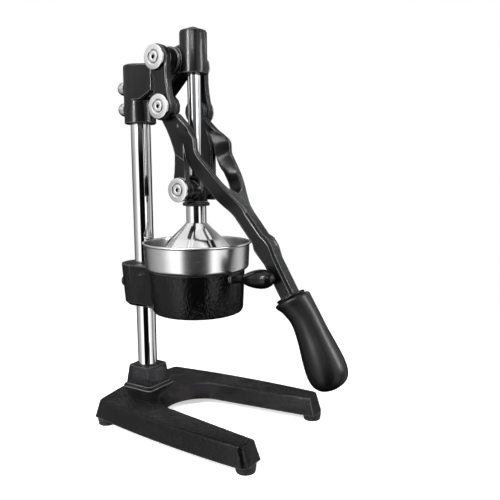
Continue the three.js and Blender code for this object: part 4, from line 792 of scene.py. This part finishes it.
def cap_face(seat):
    top = seat + CAP_THICKNESS
    slope = CAP_DOME / CAP_RADIUS ** 2

    def domed(radius):
        return top - slope * radius ** 2

    edge = arc((CAP_RADIUS - CAP_ROUND, domed(CAP_RADIUS) - CAP_ROUND), CAP_ROUND, 0, CAP_ROUND_STOP)
    land = [(radius, domed(radius)) for radius in (*LAND_RADII, GROOVE_OUTER + GROOVE_ROUND)]
    groove_middle = (GROOVE_INNER + GROOVE_OUTER) / 2
    groove = [(GROOVE_OUTER, domed(GROOVE_OUTER) - GROOVE_ROUND / 2),
              (groove_middle + GROOVE_ROUND, top - GROOVE_DEPTH),
              (groove_middle - GROOVE_ROUND, top - GROOVE_DEPTH),
              (GROOVE_INNER, domed(GROOVE_INNER) - GROOVE_ROUND / 2)]
    hub = [(GROOVE_INNER - GROOVE_ROUND, domed(GROOVE_INNER)), (HUB_RADIUS, domed(HUB_RADIUS)),
           (SOCKET_MOUTH, domed(SOCKET_MOUTH))]
    socket = [(hexagon(SOCKET_FLAT), top - GROOVE_ROUND), (hexagon(SOCKET_FLAT), top - SOCKET_DEPTH),
              (0, top - SOCKET_DEPTH - GROOVE_ROUND)]
    return edge + land + groove + hub + socket


def cap_piece(node, shank):
    low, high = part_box(node)
    side = 1 if high.x + low.x > 0 else -1
    foot = (low + high) / 2
    foot.x = low.x if side > 0 else high.x
    seat = (high.x - low.x) / MM - CAP_THICKNESS
    profile = [(0, 0), (shank - SHANK_EDGE, 0), (shank, SHANK_EDGE), (shank, seat),
               (CAP_RADIUS - CAP_ROUND, seat), (CAP_RADIUS, seat + CAP_ROUND)] + cap_face(seat)
    stand_in(turned_piece("turned_" + node, profile, lathe_place(foot, (side, 0, 0))), node)


for row, shank in SHANK_RADII.items():
    for hand in ("right", "left"):
        cap_piece(f"{row}_{hand}", shank)

# %% [markdown]
# The bell presses the half fruit on the reamer. It is cast with a plain neck, and its cone has
# eight round-bottomed flutes that narrow a little towards the neck, with flat panels between them.
# A boolean cut could make the flutes, but it leaves ragged edges on a cone. Here each ring of the
# cone dips by the depth of a flute where a point lies near one, which gives clean long lines.

# %% Fluted bell
BELL_RADIUS, BELL_SKIRT, BELL_HEIGHT, BELL_WALL, BELL_LIP, BELL_RINGS = 43.0, 4.0, 36.5, 3.2, 1.2, 22
NECK_RADIUS, NECK_EDGE, FLUTES, FLUTE_DEPTH, FLUTE_FADE, FLATNESS = 10.8, 0.8, 8, 2.0, 3, 0.75
HALF_PANEL, FLUTE_HALF = math.pi / FLUTES, (4.8, 3.0)
SLANT_SHARE, INNER_DROP_SHARE, INNER_LEAST = 1.2, 0.4, 1
# How far out the cone still is between neck and rim, by share of its height.
BELL_SHARES = [(0, 1), (0.26, 0.79), (0.52, 0.56), (0.84, 0.2), (1, 0.04)]


def between(shares, at):
    """Straight interpolation in a list of (place, value) pairs."""
    for (a, va), (b, vb) in zip(shares, shares[1:]):
        if at <= b:
            return va + (vb - va) * (at - a) / (b - a)
    return shares[-1][1]


def fluted(radius, depth, half):
    def section(angle):
        turn = (angle % (2 * HALF_PANEL)) - HALF_PANEL
        panel = math.cos(HALF_PANEL) / math.cos(HALF_PANEL - abs(turn))
        aside = radius * math.sin(abs(turn)) / half
        dip = depth * 0.5 * (1 + math.cos(math.pi * min(1, aside)))
        return radius * (1 - FLATNESS * (1 - panel)) - dip
    return section


bell_place, bell_length = upright_span("press_bell")
outer = arc((BELL_RADIUS - BELL_LIP, BELL_LIP), BELL_LIP, -90, 0)
inner = [(BELL_RADIUS - BELL_WALL * SLANT_SHARE, 0)]
for i in range(BELL_RINGS + 1):
    share = i / BELL_RINGS
    wide = NECK_RADIUS + (BELL_RADIUS - NECK_RADIUS) * between(BELL_SHARES, share)
    half = FLUTE_HALF[0] + (FLUTE_HALF[1] - FLUTE_HALF[0]) * share
    depth = FLUTE_DEPTH * min(1, (1 - share) * FLUTE_FADE)
    outer.append((fluted(wide, depth, half), BELL_SKIRT + (BELL_HEIGHT - BELL_SKIRT) * share))
    if wide - BELL_WALL * SLANT_SHARE > INNER_LEAST:
        rise = BELL_SKIRT - BELL_WALL * INNER_DROP_SHARE + (BELL_HEIGHT - BELL_SKIRT - BELL_WALL) * share
        inner.append((wide - BELL_WALL * SLANT_SHARE, rise))
inner.append((0, BELL_HEIGHT - BELL_WALL))
neck = [(NECK_RADIUS, BELL_HEIGHT + NECK_EDGE), (NECK_RADIUS, bell_length - NECK_EDGE),
        (NECK_RADIUS - NECK_EDGE, bell_length), (0, bell_length)]
satin = finish("satin_steel", (0.88, 0.88, 0.89), (0.1, 0.16), metallic=1.0, edge=0.0003, painted_shade=0.6)
stand_in(turned_piece("fluted_bell", inner[::-1] + outer + neck, bell_place), "press_bell", satin)

# %% [markdown]
# The cup is spun from steel sheet on a lathe: a rolled lip, a wall that leans out a little, a
# rounded corner, a step that drops into the holder, and a funnel below. A Solidify modifier could
# give a single skin its thickness, but the lip needs its own form. So the profile goes once round
# the whole sheet, outside and inside. Fine brushed rings come from polishing it on the lathe, and
# the same rings are in its finish.

# %% Spun cup
CUP_RIM, CUP_BOTTOM, CUP_WALL, CUP_HEIGHT, CUP_CORNER, CUP_STEP = 57.2, 55.8, 1.4, 29.3, 4.4, 1.8
CUP_LIP, LIP_SETBACK, LIP_FOOT_SHARE, LIP_INNER_SHARE, LIP_START = 1.3, 0.4, 2.4, 2.2, -70
SEAT_RADIUS, FUNNEL_SHARE, FUNNEL_DROP, SPOUT_RADIUS, SPOUT_LENGTH = 46.5, 0.93, 24.0, 10.0, 14.0
CUP_STEPS, LIP_STEPS = 8, 12
cup_foot = axis.copy()
cup_foot.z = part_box("juice_cup")[1].z - CUP_HEIGHT * MM
lip_centre = (CUP_RIM, CUP_HEIGHT - CUP_LIP)
corner_centre = (CUP_BOTTOM - CUP_CORNER, CUP_CORNER)
slope_start = SEAT_RADIUS * FUNNEL_SHARE
spout_top = -CUP_STEP - FUNNEL_DROP
spout_end = spout_top - SPOUT_LENGTH
outside = [(SPOUT_RADIUS, spout_end), (SPOUT_RADIUS, spout_top), (slope_start, -CUP_STEP),
           (SEAT_RADIUS, -CUP_STEP), (SEAT_RADIUS, 0)]
outside += arc(corner_centre, CUP_CORNER, -90, 0, CUP_STEPS)
outside += [(CUP_RIM - LIP_SETBACK, CUP_HEIGHT - CUP_LIP * LIP_FOOT_SHARE)]
outside += arc(lip_centre, CUP_LIP, LIP_START, 180, LIP_STEPS)
inside = [(CUP_RIM - CUP_WALL, CUP_HEIGHT - CUP_LIP * LIP_INNER_SHARE)]
inside += arc(corner_centre, CUP_CORNER - CUP_WALL, 0, -90, CUP_STEPS)
inside += [(SEAT_RADIUS - CUP_WALL, CUP_WALL), (SEAT_RADIUS - CUP_WALL, CUP_WALL - CUP_STEP),
           (slope_start - CUP_WALL, CUP_WALL - CUP_STEP), (SPOUT_RADIUS - CUP_WALL, CUP_WALL + spout_top),
           (SPOUT_RADIUS - CUP_WALL, spout_end)]
# The inner grey is painted shade on the inside of the cup.
spun = finish("spun_steel", (0.84, 0.84, 0.84), (0.2, 0.3), metallic=1.0, edge=0.0003,
              inner=(0.42, 0.42, 0.43), skin=BRUSHED)
cup = turned_piece("spun_cup", outside + inside, lathe_place(cup_foot, UP), closed=True)
stand_in(cup, "juice_cup", spun)

# %% [markdown]
# The grip is moulded plastic: a lip at the collar, a waist for the fingers that bows forward, and
# a full round end. A subdivided box could be pulled into this shape by hand, but a few rows of
# numbers say it better: how far along, how wide, and how far bowed. A smooth curve through these
# rows gives all the rings between.

# %% Grip
# Shares of the grip's length, of its radius, and of its radius again for the bow.
GRIP_SHARES = [(0, 0.78, 0), (0.012, 0.88, 0.004), (0.03, 0.9, 0.02), (0.06, 0.87, 0.06), (0.11, 0.81, 0.13),
               (0.24, 0.745, 0.22), (0.42, 0.8, 0.17), (0.6, 0.92, 0.09), (0.77, 1, 0.02), (0.88, 0.94, 0),
               (0.95, 0.74, 0), (0.985, 0.45, 0), (1, 0.12, 0)]
GRIP_STEPS = 4


def smooth_rows(rows, steps):
    """Catmull-Rom curve through rows of numbers, with the given steps between two rows."""
    made = []
    for i in range(len(rows) - 1):
        before, start, stop, after = (rows[min(max(j, 0), len(rows) - 1)] for j in (i - 1, i, i + 1, i + 2))
        for step in range(steps):
            t = step / steps
            made.append([0.5 * (2 * b + (c - a) * t + (2 * a - 5 * b + 4 * c - d) * t ** 2
                                + (3 * b - a - 3 * c + d) * t ** 3)
                         for a, b, c, d in zip(before, start, stop, after)])
    return made + [list(rows[-1])]


def line_of(node):
    """The middle line of a straight pin: the middles of its two ends, lowest last."""
    points = sorted((point.co for point in nodes[node].data.vertices), key=lambda p: -p.z)
    half = len(points) // 2
    return [sum(side, Vector()) / half for side in (points[:half], points[-half:])]


stud_top, stud_end = line_of("grip_stud")
aim = (stud_end - stud_top).normalized()
low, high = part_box("grip")
grip_radius = (high.x - low.x) / 2
along = [(point.co - stud_top).dot(aim) for point in nodes["grip"].data.vertices]
start, stop = min(along), max(along)
grip_place = lathe_place(stud_top, aim)
to_front = grip_place.to_3x3().col[1]
bow_sign = -1 if to_front.y > 0 else 1
rings = [[grip_place @ Vector((0, 0, start))]]
for share, wide, bow in smooth_rows(GRIP_SHARES, GRIP_STEPS):
    ring = ring_at(grip_place, start + (stop - start) * share, circle(grip_radius * wide))
    rings.append([point + to_front * bow_sign * grip_radius * bow for point in ring])
rings.append([grip_place @ Vector((0, 0, stop))])
stand_in(joined_rings("moulded_grip", rings), "grip")

# %% [markdown]
# The other solids keep their shape, but they are made of flat faces that meet in knife edges.
# Nothing that was cast or turned looks like that: light runs along a rounded edge as a thin bright
# line. The edges could be faked in the shader, but then the outline would stay sharp. A stack of
# modifiers does it without touching the mesh: smooth shading, flat triangles melted into whole
# faces, and every real edge cut back by a small round bevel.

# %% Dress the solids
FLAT_ANGLE, ROUND_STEPS = math.radians(0.8), 3
EDGE_WIDTHS = {"hammered_paint": 0.0009, "black_paint": 0.0011, "polished_steel": 0.0003,
               "zinc_steel": 0.0003, "brushed_steel": 0.0004, "grip_plastic": 0.0006,
               "knob_plastic": 0.0004, "foot_rubber": 0.0008, "bronze": 0.0003}


def round_edges(solid, width):
    melt = solid.modifiers.new("melt_flats", "DECIMATE")
    melt.decimate_type = "DISSOLVE"
    melt.angle_limit = FLAT_ANGLE
    bevel = solid.modifiers.new("round_edges", "BEVEL")
    bevel.width = width
    bevel.segments = ROUND_STEPS
    bevel.limit_method = "ANGLE"
    bevel.angle_limit = EDGE_ANGLE
    bevel.use_clamp_overlap = True
    bevel.harden_normals = True
    bevel.miter_outer = "MITER_ARC"


for name, solid in nodes.items():
    if "custom_normal" in solid.data.attributes:
        solid.data.attributes.remove(solid.data.attributes["custom_normal"])
    solid.data.materials.clear()
    solid.data.materials.append(FINISHES[slot_of[name]])
    solid.modifiers.new("smooth", "NODES").node_group = smoothing
    round_edges(solid, EDGE_WIDTHS[slot_of[name]])
print("smoothed and rounded", len(nodes), "solids")
